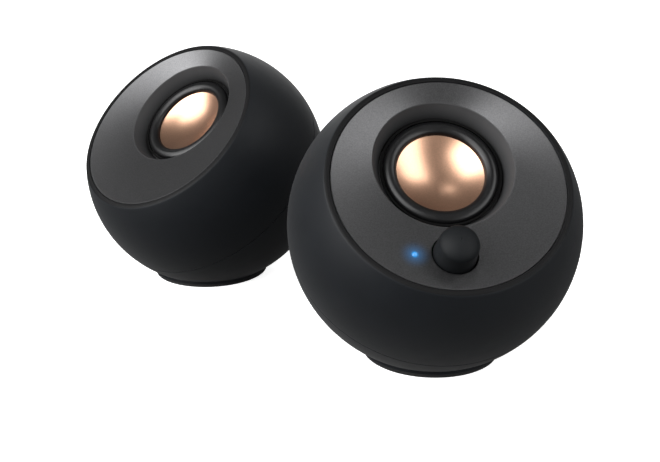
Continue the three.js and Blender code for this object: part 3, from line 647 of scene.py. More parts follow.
def bowl_form(rows=104, inner_rows=32):
    """The ball's rear: a deep bowl about the face's normal, with a tongue into the front shell."""
    size = sizes("cabinet")
    inner_ball, seam = size.ball - size.wall, -size.seam - GAP / 2
    tip, root = seam + size.tongue, seam - size.tongue_root
    land = math.sqrt(inner_ball**2 - (tip + GAP) ** 2) - GAP
    inside = land - size.tongue_wall
    outer = sphere_arc(size.ball, -size.ball, seam, rows)
    bowl = turned(
        outer[:-1],
        (*outer[-1], size.seam_round),
        [(land, seam), (land, tip), (inside, tip), (inside, root)],
        sphere_arc(inner_ball, root, -inner_ball, inner_rows),
        sides=BALL_SIDES,
    )
    bowl.transform(face_turn())
    return bowl


def neck_form():
    """The neck below the ball: a solid disc with a softened lower edge."""
    size = sizes("cabinet")
    low = size.foot_height + GAP - centre_height()
    high = low + size.floor
    return turned((0, low), (size.neck, low, EDGE), (size.neck, high), (0, high), sides=BALL_SIDES)


def tower_rods(radius, low, high):
    """A rod on each of the four screw towers' axes, two each side of a circle, as one mesh."""
    size = sizes("cabinet")
    a, circle = size.tower_angle, size.tower_circle
    turns = (a, math.pi - a, math.pi + a, -a)
    spots = [(circle * math.cos(angle), circle * math.sin(angle)) for angle in turns]
    rods = joined(*[rod(radius, low, high, BORE_SIDES, x, y) for x, y in spots])
    rods.transform(face_turn())
    return rods


def post_rods(radius, low, high):
    """A rod on each of the two posts' axes."""
    size = sizes("sockets")
    spots = (-size.post_across, size.post_across)
    return [along_back(rod(radius, low, high), x, size.post_height) for x in spots]


def fittings_form(rows=64):
    """What the rear shell carries inside: the radiator's boss, the pocket's tub, posts and towers."""
    size, radiator, sockets = sizes("cabinet", "radiator", "sockets")
    core, seat = size.ball - size.wall / 2, radiator_seat() - radiator.ledge
    boss = along_back(rod(radiator.radius + GAP + radiator.boss, seat, core, RING_SIDES))
    oblong = (sockets.width, sockets.height, sockets.corner)
    near = pocket_floor() - sockets.wall
    tub = slot_bar(*oblong, near, core, z=pocket_middle(), grown=sockets.wall)
    posts = post_rods(sockets.post, jack_back(), core)
    towers = tower_rods(size.tower, -core, tower_top())
    within = turned(sphere_arc(core, -core, core, rows), sides=INNER_SIDES)
    return carved(boss, *[(ADD, part) for part in (tub, *posts, towers)], (WITHIN, within))


def radiator_cutter(flare=0.002):
    """The stepped bore for the radiator, its mouth rounded off onto the ball."""
    size, ball = sizes("radiator"), sizes("cabinet").ball
    bore, mouth, seat = size.radius + GAP, radiator_mouth(), radiator_seat()
    through, low = bore - size.ledge_width, seat - 2 * size.ledge
    out, down = np.array([mouth, -bore]) * flare / ball
    cutter = turned(
        [(0, low), (through, low), (through, seat), (bore, seat)],
        (bore, mouth, SOFT),
        [(bore + out, mouth + down), (bore + out, PAST * ball), (0, PAST * ball)],
    )
    return along_back(cutter)


def pocket_cutter(lift=0.0001):
    """The socket pocket, its mouth rounded off onto the ball, and the window in its floor."""
    size, ball = sizes("sockets"), sizes("cabinet").ball
    middle, floor = pocket_middle(), pocket_floor()

    def on_ball(ring):
        return np.sqrt(ball**2 - ring[:, 0] ** 2 - (ring[:, 2] + middle) ** 2)

    oblong = (size.width, size.height, size.corner)
    rings = [
        slot_ring(*oblong, floor),
        slot_ring(*oblong, on_ball),
        slot_ring(*oblong, lambda ring: lift + on_ball(ring), 2 * size.edge),
        slot_ring(*oblong, PAST * ball, 2 * size.edge),
    ]
    rings = soften(np.array(rings), [0, size.edge, 0, 0]) + np.array([0, 0, middle])
    ends = (floor - 3 * size.wall, floor + size.panel)
    window = slot_bar(*oblong, *ends, z=middle, grown=-size.margin)
    return carved(capped(rings), (ADD, window))


def rear_shell_form(tower_bore=(-0.008, 0.01), post_bore=(-0.002, 0.006)):
    """The rear shell: bowl and neck in one, its fittings inside, cut for radiator, pocket, screws."""
    size = sizes("cabinet")
    below = rod(size.ball, -PAST * size.ball, size.foot_height + GAP - centre_height())
    return carved(
        bowl_form(),
        (CUT, below),
        (ADD, neck_form()),
        (ADD, fittings_form()),
        (CUT, tower_rods(size.bore, *[tower_top() + depth for depth in tower_bore])),
        (CUT, joined(*post_rods(size.bore, *[jack_back() + depth for depth in post_bore]))),
        (CUT, radiator_cutter()),
        (CUT, pocket_cutter()),
    )


def foot_form(groove=(0.88, 0.885, 0.925, 0.93), deep=0.0003, under=0.00045):
    """The rubber foot: a flat disc with rounded edges and a shallow grip groove underneath."""
    size = sizes("cabinet")
    top, radius = size.foot_height, size.foot
    groove = [(share * radius, height) for share, height in zip(groove, (0, deep, deep, 0))]
    edges = [(radius, 0, under), (radius, top, KEEN)]
    return turned((0, 0), groove, edges, (0, top), sides=BALL_SIDES)


def plate_ring(radius, height, rise):
    """A ring of the faceplate: a circle whose centre has risen."""
    a = around(BALL_SIDES)
    return np.stack([radius * np.cos(a), rise + radius * np.sin(a), height + 0 * a], -1)


def dish_ring(share, drop=0.0, widened=0.0):
    """The dish's ring at a share of the way from the rim to the recess."""
    face, outer = sizes("face"), plate_radius()
    radius = outer + (face.recess + widened - outer) * share
    return plate_ring(radius, plate_top() - face.depth * share - drop, face.rise * share)


# Shares of the way down the dish, and down the recess, at which the faceplate has its rings
DISH_START, DISH_END = 0.03, 0.965
DISH_SHARES = np.linspace(0.05, 0.94, 16)
FUNNEL_SHARES = np.linspace(0.1, 1, 10)


def faceplate_form(land=0.0004):
    """The faceplate: a loft of rings that shrink and rise from the rim to the driver's recess."""
    face, driver = sizes("face", "driver")
    outer, top = plate_radius(), plate_top()
    funnel_in = driver.roll_outer + driver.gasket + 2 * GAP
    end = top - face.depth - face.funnel
    edge, lower = plate_ring(outer, top - land, 0), plate_ring(funnel_in, end, face.rise)
    corner = dish_ring(1)
    down = corner + (lower - corner) * face.recess_round / face.funnel
    in_skirt = outer - face.skirt_wall
    near = face.skirt_wall / (outer - face.rise - face.recess)
    rings = [
        *soften([edge, dish_ring(0), dish_ring(DISH_START)], [0, FINE, 0]),
        *[dish_ring(share) for share in DISH_SHARES],
        *soften([dish_ring(DISH_END), corner, down], [0, face.recess_round, 0], steps=8),
        *[down + (lower - down) * share for share in FUNNEL_SHARES],
        plate_ring(funnel_in + face.funnel_wall, end, face.rise),
        dish_ring(1, face.thickness, face.funnel_wall),
        plate_ring(in_skirt, top - face.depth * near - face.thickness, 0),
        plate_ring(in_skirt, top - face.skirt, 0),
        plate_ring(outer, top - face.skirt, 0),
    ]
    return skin(np.array(rings))


def plate_hole(radius, across, drop, edge, sides, below=0.012, above=0.01, lift=0.00001):
    """A round cutter through the dish, its mouth rounded off onto the dish's own height."""
    a = around(sides)

    def ring(grown, height=None):
        x, y = across + (radius + grown) * np.cos(a), -drop + (radius + grown) * np.sin(a)
        return np.stack([x, y, dish_height(x, y) if height is None else height + 0 * a], -1)

    mouth = ring(FLARE * edge) + np.array([0, 0, lift])
    top = ring(FLARE * edge, plate_top() + above)
    rings = [ring(0, plate_top() - below), ring(0), mouth, top]
    return capped(soften(np.array(rings), [0, edge, 0, 0]))


def control_faceplate_form(lens_gap=0.00008):
    """The right faceplate, with holes for the knob and the light."""
    face = sizes("face")
    knob, lens = face.knob + face.knob_clearance, face.light + lens_gap
    knob_hole = plate_hole(knob, face.knob_across, face.knob_drop, EDGE, RING_SIDES)
    lens_hole = plate_hole(lens, face.light_across, face.light_drop, HAIR, LENS_SIDES)
    return carved(faceplate_form(), (CUT, knob_hole), (CUT, lens_hole))


def with_depth(mesh):
    """Marks how deep each point of a faceplate lies in its recess, from 0 to 1, for the painted shade of
    its lining.
    """
    face = sizes("face")
    below = plate_top() - face.depth - triples(mesh.vertices, "co")[:, 2]
    depth = mesh.attributes.new("recess_depth", "FLOAT", "POINT")
    depth.data.foreach_set("value", np.clip(below / face.funnel, 0, 1))
    return mesh


def without_flake(mesh, edge=0.00013):
    """Which faces of a faceplate are matt: those that line its recess, and its outer edge."""
    face, (x, y, _) = sizes("face"), triples(mesh.polygons, "center").T
    lining = np.hypot(x, y - face.rise) < face.recess + face.recess_round
    return lining | (np.hypot(x, y) > plate_radius() - edge)


def cone_form(rows=32):
    """The cone: a shallow paraboloid h = -depth (1 - (r / R)^2), with an even thickness."""
    size = sizes("driver")
    r = size.cone * np.linspace(0, 1, rows + 1)
    front = np.stack([r, GAP - size.cone_depth * (1 - (r / size.cone) ** 2)], 1)
    return turned(front - np.array([0, size.cone_wall]), (*front[-1], KEEN), front[-2::-1])


def half_roll(inner, outer, base, height, wall, out, rows=26, crest=89.6):
    """Top and under lines of one half of a half-round roll, from its crest to its foot and back.

    Both are quarters of an ellipse: r = middle + half cos a, h = base + height sin a. The step next
    to the crest is small, so that the two halves shade alike where they meet.
    """
    middle, half, way = (inner + outer) / 2, (outer - inner) / 2, 1 if out else -1
    a = np.append(math.pi / 2, np.linspace(math.radians(crest), 0, rows))
    under = ellipse(middle, GAP, way * (half - wall), base + height - wall - GAP, a)
    return ellipse(middle, base, way * half, height, a), under[::-1]


def surround_forms(glued=0.0002, tuck=0.0001, tuck_height=0.00005):
    """The driver's surround in two rings that meet on the roll's crest: the outer and the inner."""
    size = sizes("driver")
    inner, base, lip = size.cone - glued, GAP + size.roll_wall, size.roll_outer + size.roll_lip
    roll = (inner, size.roll_outer, base, size.roll_height, size.roll_wall)
    top, under = half_roll(*roll, True)
    outside = turned(top, [(lip, base), (lip, GAP)], under)
    top, under = half_roll(*roll, False)
    return outside, turned(top, (inner - tuck, GAP + tuck_height), under)


def gasket_form():
    """The gasket: a flat die-cut ring."""
    size = sizes("driver")
    inner, low = size.roll_outer + GAP, 2 * GAP + size.roll_wall
    outer, high = inner + size.gasket, low + size.gasket_height
    return turned((inner, low), (outer, low), (outer, high), (inner, high))


def spider_form(rows=64, waves=4, wave=0.0003):
    """The spider: a shallow cone of cloth with four round waves along it."""
    size = sizes("driver")
    s = np.linspace(0, 1, rows + 1)
    r = size.spider_inner + (size.spider_outer - size.spider_inner) * s
    h = size.spider_high + (size.spider_low - size.spider_high) * s
    h = h + wave * np.sin(2 * waves * np.pi * s) * np.sin(np.pi * s) ** 0.5
    top = np.stack([r, h], 1)
    return turned(top, (top - np.array([0, size.spider_wall]))[::-1], sides=INNER_SIDES)


def radiator_frame_form(share=0.25, drop=0.0003):
    """The radiator's frame: a flat ring with a stepped inner edge."""
    size = sizes("radiator")
    inner, outer, high = size.radius - size.land, size.radius, size.thickness
    step, low = inner + share * size.land, high - drop
    top = [(outer, high, WIDE), (step, high, KEEN), (step, low, 0), (inner, low, EDGE)]
    return turned((inner, 0), (outer, 0), top, sides=BALL_SIDES)


def radiator_surround_forms(frame_gap=0.00007, plate_lap=0.00005):
    """The radiator's surround in two rings that meet on its crest: the outer and the inner."""
    size = sizes("radiator")
    outer = size.radius - size.land - frame_gap
    inner = size.radius - size.land - size.roll + plate_lap
    forms = []
    for out in (True, False):
        roll = (inner, outer, size.plate_inset, size.roll_height, size.roll_wall, out)
        top, under = half_roll(*roll)
        under[:, 1] += size.plate_inset - GAP
        forms.append(turned(top, under))
    return forms


def radiator_plate_form(rim_share=0.72, dish_share=0.66):
    """The radiator's plate: a disc with a pressed dish in its face and a weight behind."""
    size = sizes("radiator")
    edge = size.radius - size.land - size.roll
    low, high, back = size.plate_inset, size.plate_inset + size.plate, -size.weight_height
    dish = high - size.dish
    return turned(
        [(0, back, 0), (size.weight, back, SOFT), (size.weight, low, 0), (edge, low, KEEN)],
        [(edge, high, WIDE), (rim_share * edge, high, WIDE), (dish_share * edge, dish, WIDE)],
        (0, dish),
    )


def knob_form(rows=29, dimple=0.0006, dimple_rows=16, dimple_rise=0.0003):
    """The knob: a tapered drum with a quarter-ellipse dome, a bore below and a dimple on top."""
    face = sizes("face")
    surface = float(dish_height(face.knob_across, -face.knob_drop))
    low, high = surface - face.knob_sink, surface + face.knob_height
    bore, bore_top = face.shaft + GAP, low + face.knob_bore
    a = np.linspace(0, math.pi / 2, rows + 1)
    dome = ellipse(0, high - face.knob_dome, face.knob - face.knob_taper, face.knob_dome, a)
    drum = turned([(0, bore_top), (bore, bore_top), (bore, low)], (face.knob, low, EDGE), dome)
    pit = turned(sphere_arc(dimple, -dimple, dimple, dimple_rows), sides=BORE_SIDES)
    return carved(drum, (CUT, moved(pit, z=high + dimple_rise)))


def lens_form(rows=9, gap=0.0005, base_height=0.0015):
    """The light pipe: a foot on the board and a stem whose end is domed."""
    face = sizes("face")
    surface = float(dish_height(face.light_across, -face.light_drop))
    foot, base = flange_height() + gap, face.light_base
    step = foot + base_height
    dome = ellipse(0, surface, face.light, face.light_dome, np.linspace(0, math.pi / 2, rows + 1))
    stem = [(0, foot), (base, foot), (base, step), (face.light, step)]
    return turned(stem, dome, sides=SMALL_SIDES)


def edged_bore(radius, low, face, edge, lift=0.01):
    """A cutter along Y for a bore whose mouth is rounded off by an edge."""
    out, mouth = radius + FLARE * edge, face + lift * edge
    beyond = [(out, mouth), (out, 2 * face), (0, 2 * face)]
    bore = turned((0, low), (radius, low), (radius, face, edge), beyond, sides=SMALL_SIDES)
    return along_back(bore)


def jack_form(across, corner=0.0004):
    """A jack: a square body behind the panel, and a round nose with a bore."""
    size = sizes("sockets")
    face, inside = panel_face(), pocket_floor() - size.wall
    body = slot_bar(size.body, size.body, corner, jack_back(), inside - GAP)
    foot, tip = [(0, inside - size.wall), (size.nose, inside - size.wall)], (size.nose, face, TRIM)
    nose = along_back(turned(foot, tip, (0, face), sides=SMALL_SIDES))
    bore = edged_bore(size.bore, jack_back() + size.panel, face, KEEN)
    return moved(carved(body, (ADD, nose), (CUT, bore)), across, z=pocket_middle())


def collar_form(across, gap=0.0001, reach=0.00065, sunk=0.0003, proud=0.00035):
    """The nickel ring pressed round a jack's mouth."""
    inner, outer = sizes("sockets").bore + gap, sizes("sockets").bore + reach
    low, high = panel_face() - sunk, panel_face() + proud
    top = [(outer, high, KEEN), (inner, high, KEEN)]
    ring = turned((inner, low), (outer, low), top, sides=SMALL_SIDES)
    return along_back(ring, across, pocket_middle())


def power_socket_form(across, back_wall=0.0016, beside=0.001, short=0.001):
    """The power socket: a drawn steel shell with a rounded mouth, and its tongue inside."""
    size = sizes("sockets")
    back, face, wall = jack_back(), panel_face(), size.usb_wall
    oblong = (size.usb_width, size.usb_height, size.usb_height / 2 - GAP / 2)
    shell = slot_bar(*oblong, back, face, HAIR)
    hollow = slot_bar(*oblong, back + back_wall, 2 * face, grown=-wall)
    width = size.usb_width - 2 * wall - 2 * beside
    tongue = slot_bar(width, size.usb_tongue, EDGE, back, face - short, HAIR)
    return moved(carved(shell, (CUT, hollow), (ADD, tongue)), across, z=pocket_middle())


def switch_form(across, slot_corner=0.0001, slot_depth=0.0033):
    """The switch's body, with the slot that its slider runs in."""
    size, front = sizes("sockets"), pocket_floor()
    body = slot_bar(size.switch_width, size.switch_height, EDGE, jack_back(), front)
    ends = (front - slot_depth, 2 * front)
    slot = slot_bar(size.slot_width, size.slot_height, slot_corner, *ends)
    return moved(carved(body, (CUT, slot)), across, z=pocket_middle())


def slider_form(across, inside=0.003, groove_corner=0.00005):
    """The switch's slider: a rounded bar with grooves across its face."""
    size = sizes("sockets")
    rest = across - size.slot_width / 2 + GAP + size.slider_width / 2
    low, high = pocket_floor() - inside, panel_face() + size.slider_reach
    bar = slot_bar(size.slider_width, size.slider_height, TRIM, low, high, FINE)
    pitch, tall = size.slider_width / 5, 2 * size.slider_height
    for i in (-1.5, -0.5, 0.5, 1.5):
        groove = slot_bar(pitch / 2, tall, groove_corner, high - TRIM, 2 * high)
        bar = carved(bar, (CUT, moved(groove, i * pitch)))
    return moved(bar, rest, z=pocket_middle())


def panel_form(side):
    """The socket panel: a rounded plate with a hole for each socket."""
    size = sizes("sockets")
    face, back = panel_face(), pocket_floor() + GAP
    behind = back - size.wall
    plate = slot_bar(size.width, size.height, size.corner, back, face, FINE, grown=-GAP)
    holes = []
    for name in ("aux", "speaker") if side == "right" else ("input",):
        hole = edged_bore(size.nose + GAP, behind, face, FINE)
        holes.append(moved(hole, socket_across(name)))
    if side == "right":
        power = (size.usb_width + 2 * GAP, size.usb_height + 2 * GAP, size.usb_height / 2)
        slot = (size.slot_width, size.slot_height, EDGE)
        holes.append(slot_bar(*power, behind, 2 * face, x=socket_across("power")))
        holes.append(slot_bar(*slot, behind, 2 * face, x=socket_across("gain")))
    return moved(carved(plate, *[(CUT, hole) for hole in holes]), z=pocket_middle())


# Finishes: each starts from what the real surface is and how it was made

# A colour Mix node's inputs and output, and the width of a wave texture's band at scale 1
MIX_A, MIX_B, MIX_RESULT = 6, 7, 2
BAND = math.pi / 10

# Widths of the patches in which colour and roughness drift
COLOUR_PATCH = 0.012
ROUGH_PATCH = 0.007


def fill(node, inputs):
    """Fills a node's inputs with values or links."""
    for key, value in inputs.items():
        if isinstance(value, bpy.types.NodeSocket):
            node.id_data.links.new(value, node.inputs[key])
        else:
            node.inputs[key].default_value = value


def add(tree, kind, output, inputs, **settings):
    """Adds a node with its settings, values and links, and gives one of its outputs."""
    node = tree.nodes.new(f"ShaderNode{kind}")
    for key, value in settings.items():
        setattr(node, key, value)
    fill(node, inputs)
    return node.outputs[output]


def started(name):
    """A new finish, its tree, its shader and the place on the object that patterns follow."""
    finish = bpy.data.materials.new(name)
    finish.use_nodes = True
    tree = finish.node_tree
    return finish, tree, tree.nodes["Principled BSDF"], add(tree, "TexCoord", "Object", {})


def drift(tree, spot, patch, low, high, detail=3.0, lowest=0.3, highest=0.7):
    """A slow noise in patches of about `patch` metres, whose usual range goes from low to high."""
    noise = add(tree, "TexNoise", "Fac", {"Vector": spot, "Scale": 1 / patch, "Detail": detail})
    ends = {"From Min": lowest, "From Max": highest, "To Min": low, "To Max": high}
    return add(tree, "MapRange", "Result", {"Value": noise, **ends})


def shaded(tree, share, base, dark, bright):
    """The base colour, times `dark` where a share is 0 and times `bright` where it is 1."""
    low, high = ((*[c * k for c in base], 1) for k in (dark, bright))
    return add(tree, "Mix", MIX_RESULT, {0: share, MIX_A: low, MIX_B: high}, data_type="RGBA")


def mottled(tree, spot, base, patch, swing):
    """The base colour, `swing` darker to `swing` lighter in patches of about `patch` metres."""
    return shaded(tree, drift(tree, spot, patch, 0.0, 1.0), base, 1 - swing, 1 + swing)


def grain(tree, spot, size, height):
    """A normal bent by grains about `size` metres wide and `height` metres high."""
    noise = add(tree, "TexNoise", "Fac", {"Vector": spot, "Scale": 1 / size, "Detail": 2.0})
    return add(tree, "Bump", "Normal", {"Height": noise, "Distance": height})


def moulded(name, base, rough, size, height, swing=0.12, waver=0.04, others=()):
    """A moulded, cast, coated or painted surface: colour and roughness drift under a fine grain."""
    finish, tree, shader, spot = started(name)
    made = {
        "Base Color": mottled(tree, spot, base, COLOUR_PATCH, swing),
        "Roughness": drift(tree, spot, ROUGH_PATCH, rough - waver, rough + waver),
        "Normal": grain(tree, spot, size, height),
    }
    fill(shader, {**made, **dict(others)})
    return finish


def lining_paint_with_painted_shade(name, base, *numbers, fall=2.0, darkest_shade="#030303"):
    """Moulded paint with painted shade: its colour falls to nearly black as the recess deepens, by the
    power `fall`.
    """
    finish = moulded(name, base, *numbers)
    tree = finish.node_tree
    shader = tree.nodes["Principled BSDF"]
    sprayed = shader.inputs["Base Color"].links[0].from_socket
    deep = add(tree, "Attribute", "Fac", {}, attribute_name="recess_depth")
    # Painted shade: the lining's colour darkens towards black deeper in the recess
    painted_shade = add(tree, "Math", 0, {0: deep, 1: fall}, operation="POWER")
    ends = {0: painted_shade, MIX_A: sprayed, MIX_B: (*linear(darkest_shade), 1)}
    fill(shader, {"Base Color": add(tree, "Mix", MIX_RESULT, ends, data_type="RGBA")})
    return finish


def near_lens(tree, spot, near, far):
    """1 within `near` of the light's lens, falling to 0 at `far`."""
    face = sizes("face")
    height = float(dish_height(face.light_across, -face.light_drop))
    lens = face_place("right") @ Vector((face.light_across, -face.light_drop, height))
    away = add(tree, "VectorMath", "Value", {0: spot, 1: tuple(lens)}, operation="DISTANCE")
    fall = {"Value": away, "From Min": near, "From Max": far, "To Min": 1.0, "To Max": 0.0}
    return add(tree, "MapRange", "Result", fall)


def flake_paint_with_painted_glow(name, base, near=1.7, halo=0.007, painted_ring_glow=0.26, painted_halo_glow=0.19, fall=2.2):
    """Flake paint with a painted glow round the light's lens, which the paint itself emits: a tight ring
    and a wide halo.

    The painted ring reaches to `near` times the lens's radius, and the painted halo to `halo` metres. Each
    has the glow that its name tells, and the halo's falls off by the power `fall`.
    """
    finish, tree, shader, spot = started(name)
    lens = sizes("face").light
    # Painted glow: the plate's paint emits the status light's blue in a ring and a halo round the lens
    ring = near_lens(tree, spot, lens, near * lens)
    falling = near_lens(tree, spot, near * lens, halo)
    wide = add(tree, "Math", 0, {0: falling, 1: fall}, operation="POWER")
    broad = add(tree, "Math", 0, {0: wide, 1: painted_halo_glow}, operation="MULTIPLY")
    painted_glow = add(tree, "Math", 0, {0: ring, 1: painted_ring_glow, 2: broad}, operation="MULTIPLY_ADD")
    fleck = drift(tree, spot, 0.0005, 0.0, 1.0, detail=1.0)
    made = {
        "Base Color": shaded(tree, fleck, base, 0.88, 1.14),
        "Metallic": 0.95,
        "IOR": 1.5,
        "Roughness": drift(tree, spot, 0.0009, 0.31, 0.37),
        "Normal": grain(tree, spot, 0.0006, 0.000007),
        "Emission Color": (*tint("light"), 1),
        "Emission Strength": painted_glow,
    }
    fill(shader, made)
    return finish


def copper_anodising(name, base):
    """An anodised metal: a faint mottle of 0.6 mm under a clear film."""
    finish, tree, shader, spot = started(name)
    film = {"Coat Weight": 0.8, "Coat Roughness": 0.3, "Metallic": 1.0, "Roughness": 0.29}
    fill(shader, {**film, "Base Color": mottled(tree, spot, base, 0.0006, 0.07)})
    return finish


def wound_wire(name, base, pitch, height):
    """Bands of one pitch along the right driver's axis, as wire wound on a former."""
    finish, tree, shader, spot = started(name)
    own = driver_place("right").inverted()
    axes = {"Vector": spot, "Location": own.to_translation(), "Rotation": own.to_euler()}
    own_spot = add(tree, "Mapping", "Vector", axes, vector_type="POINT")
    wave = {"Vector": own_spot, "Scale": BAND / pitch, "Distortion": 0.3}
    bands = add(tree, "TexWave", "Fac", wave, bands_direction="Z")
    made = {
        "Base Color": shaded(tree, bands, base, 0.75, 1.1),
        "Metallic": 0.9,
        "Roughness": 0.33,
        "Normal": add(tree, "Bump", "Normal", {"Height": bands, "Distance": height}),
    }
    fill(shader, made)
    return finish


def woven_cloth(name, base, thread, height):
    """Over-and-under threads: waves along X times waves along Z, one to each thread."""
    finish, tree, shader, spot = started(name)
    wave = {"Vector": spot, "Scale": BAND / thread}
    waves = [add(tree, "TexWave", "Fac", wave, bands_direction=way) for way in ("X", "Z")]
    weave = add(tree, "Math", 0, {0: waves[0], 1: waves[1]}, operation="MULTIPLY")
    made = {
        "Base Color": shaded(tree, weave, base, 0.55, 1.15),
        "Roughness": 0.85,
        "Sheen Weight": 0.3,
        "Normal": add(tree, "Bump", "Normal", {"Height": weave, "Distance": height}),
    }
    fill(shader, made)
    return finish


def circuit_board(name, base, scale, height, inner=0.42, outer=0.46, pale=1.9):
    """Straight copper tracks at the edges of square cells, paler than the mask between them."""
    finish, tree, shader, spot = started(name)
    cell = {"Vector": spot, "Scale": scale}
    cells = add(tree, "TexVoronoi", "Distance", cell, distance="CHEBYCHEV")
    edge = {"Value": cells, "From Min": inner, "From Max": outer, "To Min": 0.0, "To Max": 1.0}
    track = add(tree, "MapRange", "Result", edge)
    paler = (*[min(1.0, c * pale) for c in base], 1)
    ends = {0: track, MIX_A: mottled(tree, spot, base, 0.01, 0.1), MIX_B: paler}
    made = {
        "Base Color": add(tree, "Mix", MIX_RESULT, ends, data_type="RGBA"),
        "Roughness": 0.35,
        "Normal": add(tree, "Bump", "Normal", {"Height": track, "Distance": height}),
    }
    fill(shader, made)
    return finish


def light_pipe(name, glow, dim=0.5, full=0.95, white=0.18, body=0.2):
    """Clear acrylic with the lamp behind it: its dim edge brightens to a middle with some white."""
    finish, tree, shader, spot = started(name)
    core = near_lens(tree, spot, 0.0, sizes("face").light)
    edge, middle = (*[dim * c for c in glow], 1), (*[white + full * c for c in glow], 1)
    ends = {0: core, MIX_A: edge, MIX_B: middle}
    made = {
        "Base Color": (*[body * c for c in glow], 1),
        "Roughness": 0.2,
        "IOR": 1.49,
        "Emission Color": add(tree, "Mix", MIX_RESULT, ends, data_type="RGBA"),
        "Emission Strength": 1.0,
    }
    fill(shader, made)
    return finish


METAL = {"Metallic": 1.0}
SOFT_COAT = {"Specular IOR Level": 0.165, "Sheen Weight": 0.07, "Sheen Roughness": 0.5}

# What each of the record's slots, and each part that differs from its slot, is finished in: material,
# way of making and colour. For a moulded surface its roughness follows, the width and height of its
# grain in metres, how far colour and roughness drift, and what else its shader is told
FINISHES = {
    # Soft-touch paint over moulded ABS: matt, with a faint bloom at its edges
    "shell_plastic": ("soft_touch_abs", moulded, "shell", 0.52, 0.0004, 8e-6, 0.08, 0.03, SOFT_COAT),
    # The same paint on the lip, more matt, and painted darker as shade
    "lip_paint": (
        "rubbed_soft_touch_abs", moulded, "#060607",
        0.6, 0.0004, 8e-6, 0.12, 0.04, {"Specular IOR Level": 0.15},
    ),
    # Matt paint without flake down the recess: soft grey, with painted shade that turns it black below
    "recess_lining": (
        "matt_painted_abs", lining_paint_with_painted_shade, "#383839",
        0.55, 0.0005, 1e-5, 0.06, 0.04, {"Specular IOR Level": 0.2},
    ),
    # Satin paint with metal flake on moulded ABS: broad soft streaks along the dish, and a speckle that is
    # drawn at 0.5 mm to show. Round the light's lens the paint has a painted blue glow of its own
    "faceplate_plastic": ("flake_painted_abs", flake_paint_with_painted_glow, "plate"),
    # Spark-textured moulded ABS: an even grain of about half a millimetre
    "frame_plastic": ("textured_abs", moulded, "#17181a", 0.66, 0.0005, 4e-5),
    # Pressed butyl rubber with a satin skin: soft broad glints along the roll
    "surround_rubber": (
        "butyl_rubber", moulded, "rubber", 0.33, 0.0007, 3e-6, 0.1, 0.02, {"IOR": 1.4},
    ),
    # Die-cut closed-cell foam: nearly black, and without a sheen
    "gasket_foam": (
        "closed_cell_foam", moulded, "#050505",
        0.9, 0.0005, 3e-5, 0.12, 0.04, {"Specular IOR Level": 0.1},
    ),
    # Cast silicone: matt, and a little dusty where it stands
    "foot_rubber": ("silicone_rubber", moulded, "#101011", 0.8, 0.0006, 3e-5),
    # Rubber-coated ABS: very matt, so its dome shades evenly
    "knob_rubber": (
        "rubber_coated_abs", moulded, "knob",
        0.62, 0.0004, 8e-6, 0.06, 0.02, {"Specular IOR Level": 0.16},
    ),
    # Spun aluminium, blasted and anodised copper: soft bright streaks that turn with the light
    "copper_cone": ("copper_anodised_aluminium", copper_anodising, "cone"),
    # Powder coat on pressed steel: a low orange-peel gloss
    "basket_paint": ("powder_coated_steel", moulded, "#1a1a1b", 0.5, 0.0012, 3e-5),
    # Zinc-plated steel, turned: bright, with a fine satin skin
    "steel": ("zinc_plated_steel", moulded, "#b4b6b8", 0.34, 0.0003, 1e-5, 0.12, 0.04, METAL),
    # Pressed and ground ferrite: dull dark grey, with pores
    "ferrite": ("ferrite_ceramic", moulded, "#2b2b2d", 0.72, 0.0005, 6e-5, 0.2),
    # Cotton stiffened with phenolic resin: a straw-brown weave with threads 0.8 mm apart
    "spider_cloth": ("phenolic_cotton", woven_cloth, "#b07a2e", 0.0008, 8e-5),
    # Enamelled copper wire wound in one layer: glossy turns, drawn 0.35 mm wide to show
    "coil_wire": ("enamelled_copper", wound_wire, "#a8562a", 0.00035, 0.00012),
    # Glass-epoxy board under green solder mask: tracks about 4 mm apart show as paler lines
    "board_laminate": ("solder_masked_board", circuit_board, "#1d4a2e", 260.0, 3e-5),
    # Glass-filled nylon, moulded: dark with a low gloss
    "socket_plastic": ("glass_filled_nylon", moulded, "#101011", 0.42, 0.0004, 2e-5),
    # Nickel-plated drawn steel: bright, a little uneven
    "socket_steel": ("nickel_plated_steel", moulded, "#c8cacc", 0.24, 0.0008, 6e-6, 0.12, 0.04, METAL),
    # Clear acrylic light pipe with the lamp behind it: blue, with a nearly white middle
    "light_lens": ("lit_acrylic", light_pipe, "light"),
    # Drawn aluminium: pale, with a fine satin skin
    "can_aluminium": ("drawn_aluminium", moulded, "#a9abad", 0.38, 0.0003, 1e-5, 0.12, 0.04, METAL),
    # Moulded epoxy of a chip: matt near-black, with a fine grain
    "chip_epoxy": ("moulded_epoxy", moulded, "#18181a", 0.6, 0.0003, 2e-5),
}


def tint(name):
    """A linear colour, from its hex value or its name in the finishes' group."""
    return linear(name) if name[0] == "#" else tuple(getattr(sizes("finishes"), name))


def finish_for(slot):
    """The finish of a slot or part, made when it is first asked for."""
    name, make, base, *numbers = FINISHES[slot]
    return bpy.data.materials.get(name) or make(name, tint(base), *numbers)


# Operators


class SPEAKERS_OT_front_shells(Operator):
    """Builds both front shells, with their lips round the faces"""

    bl_idname = "speakers.front_shells"
    bl_label = "Front Shells"

    def execute(self, context):
        # The lip wears its own finish, more matt and painted darker as shade
        form, lip = front_shell_form(), ("lip_paint", on_lip)
        for side in SIDES:
            piece(f"{side}_front_shell", form, face_place(side), "shell_plastic", part=lip)
        return {"FINISHED"}


class SPEAKERS_OT_rear_shells(Operator):
    """Builds both rear shells, with neck, towers, radiator seat and socket pocket"""

    bl_idname = "speakers.rear_shells"
    bl_label = "Rear Shells"

    def execute(self, context):
        form = rear_shell_form()
        for side in SIDES:
            piece(f"{side}_rear_shell", form, ball_place(side), "shell_plastic")
        return {"FINISHED"}


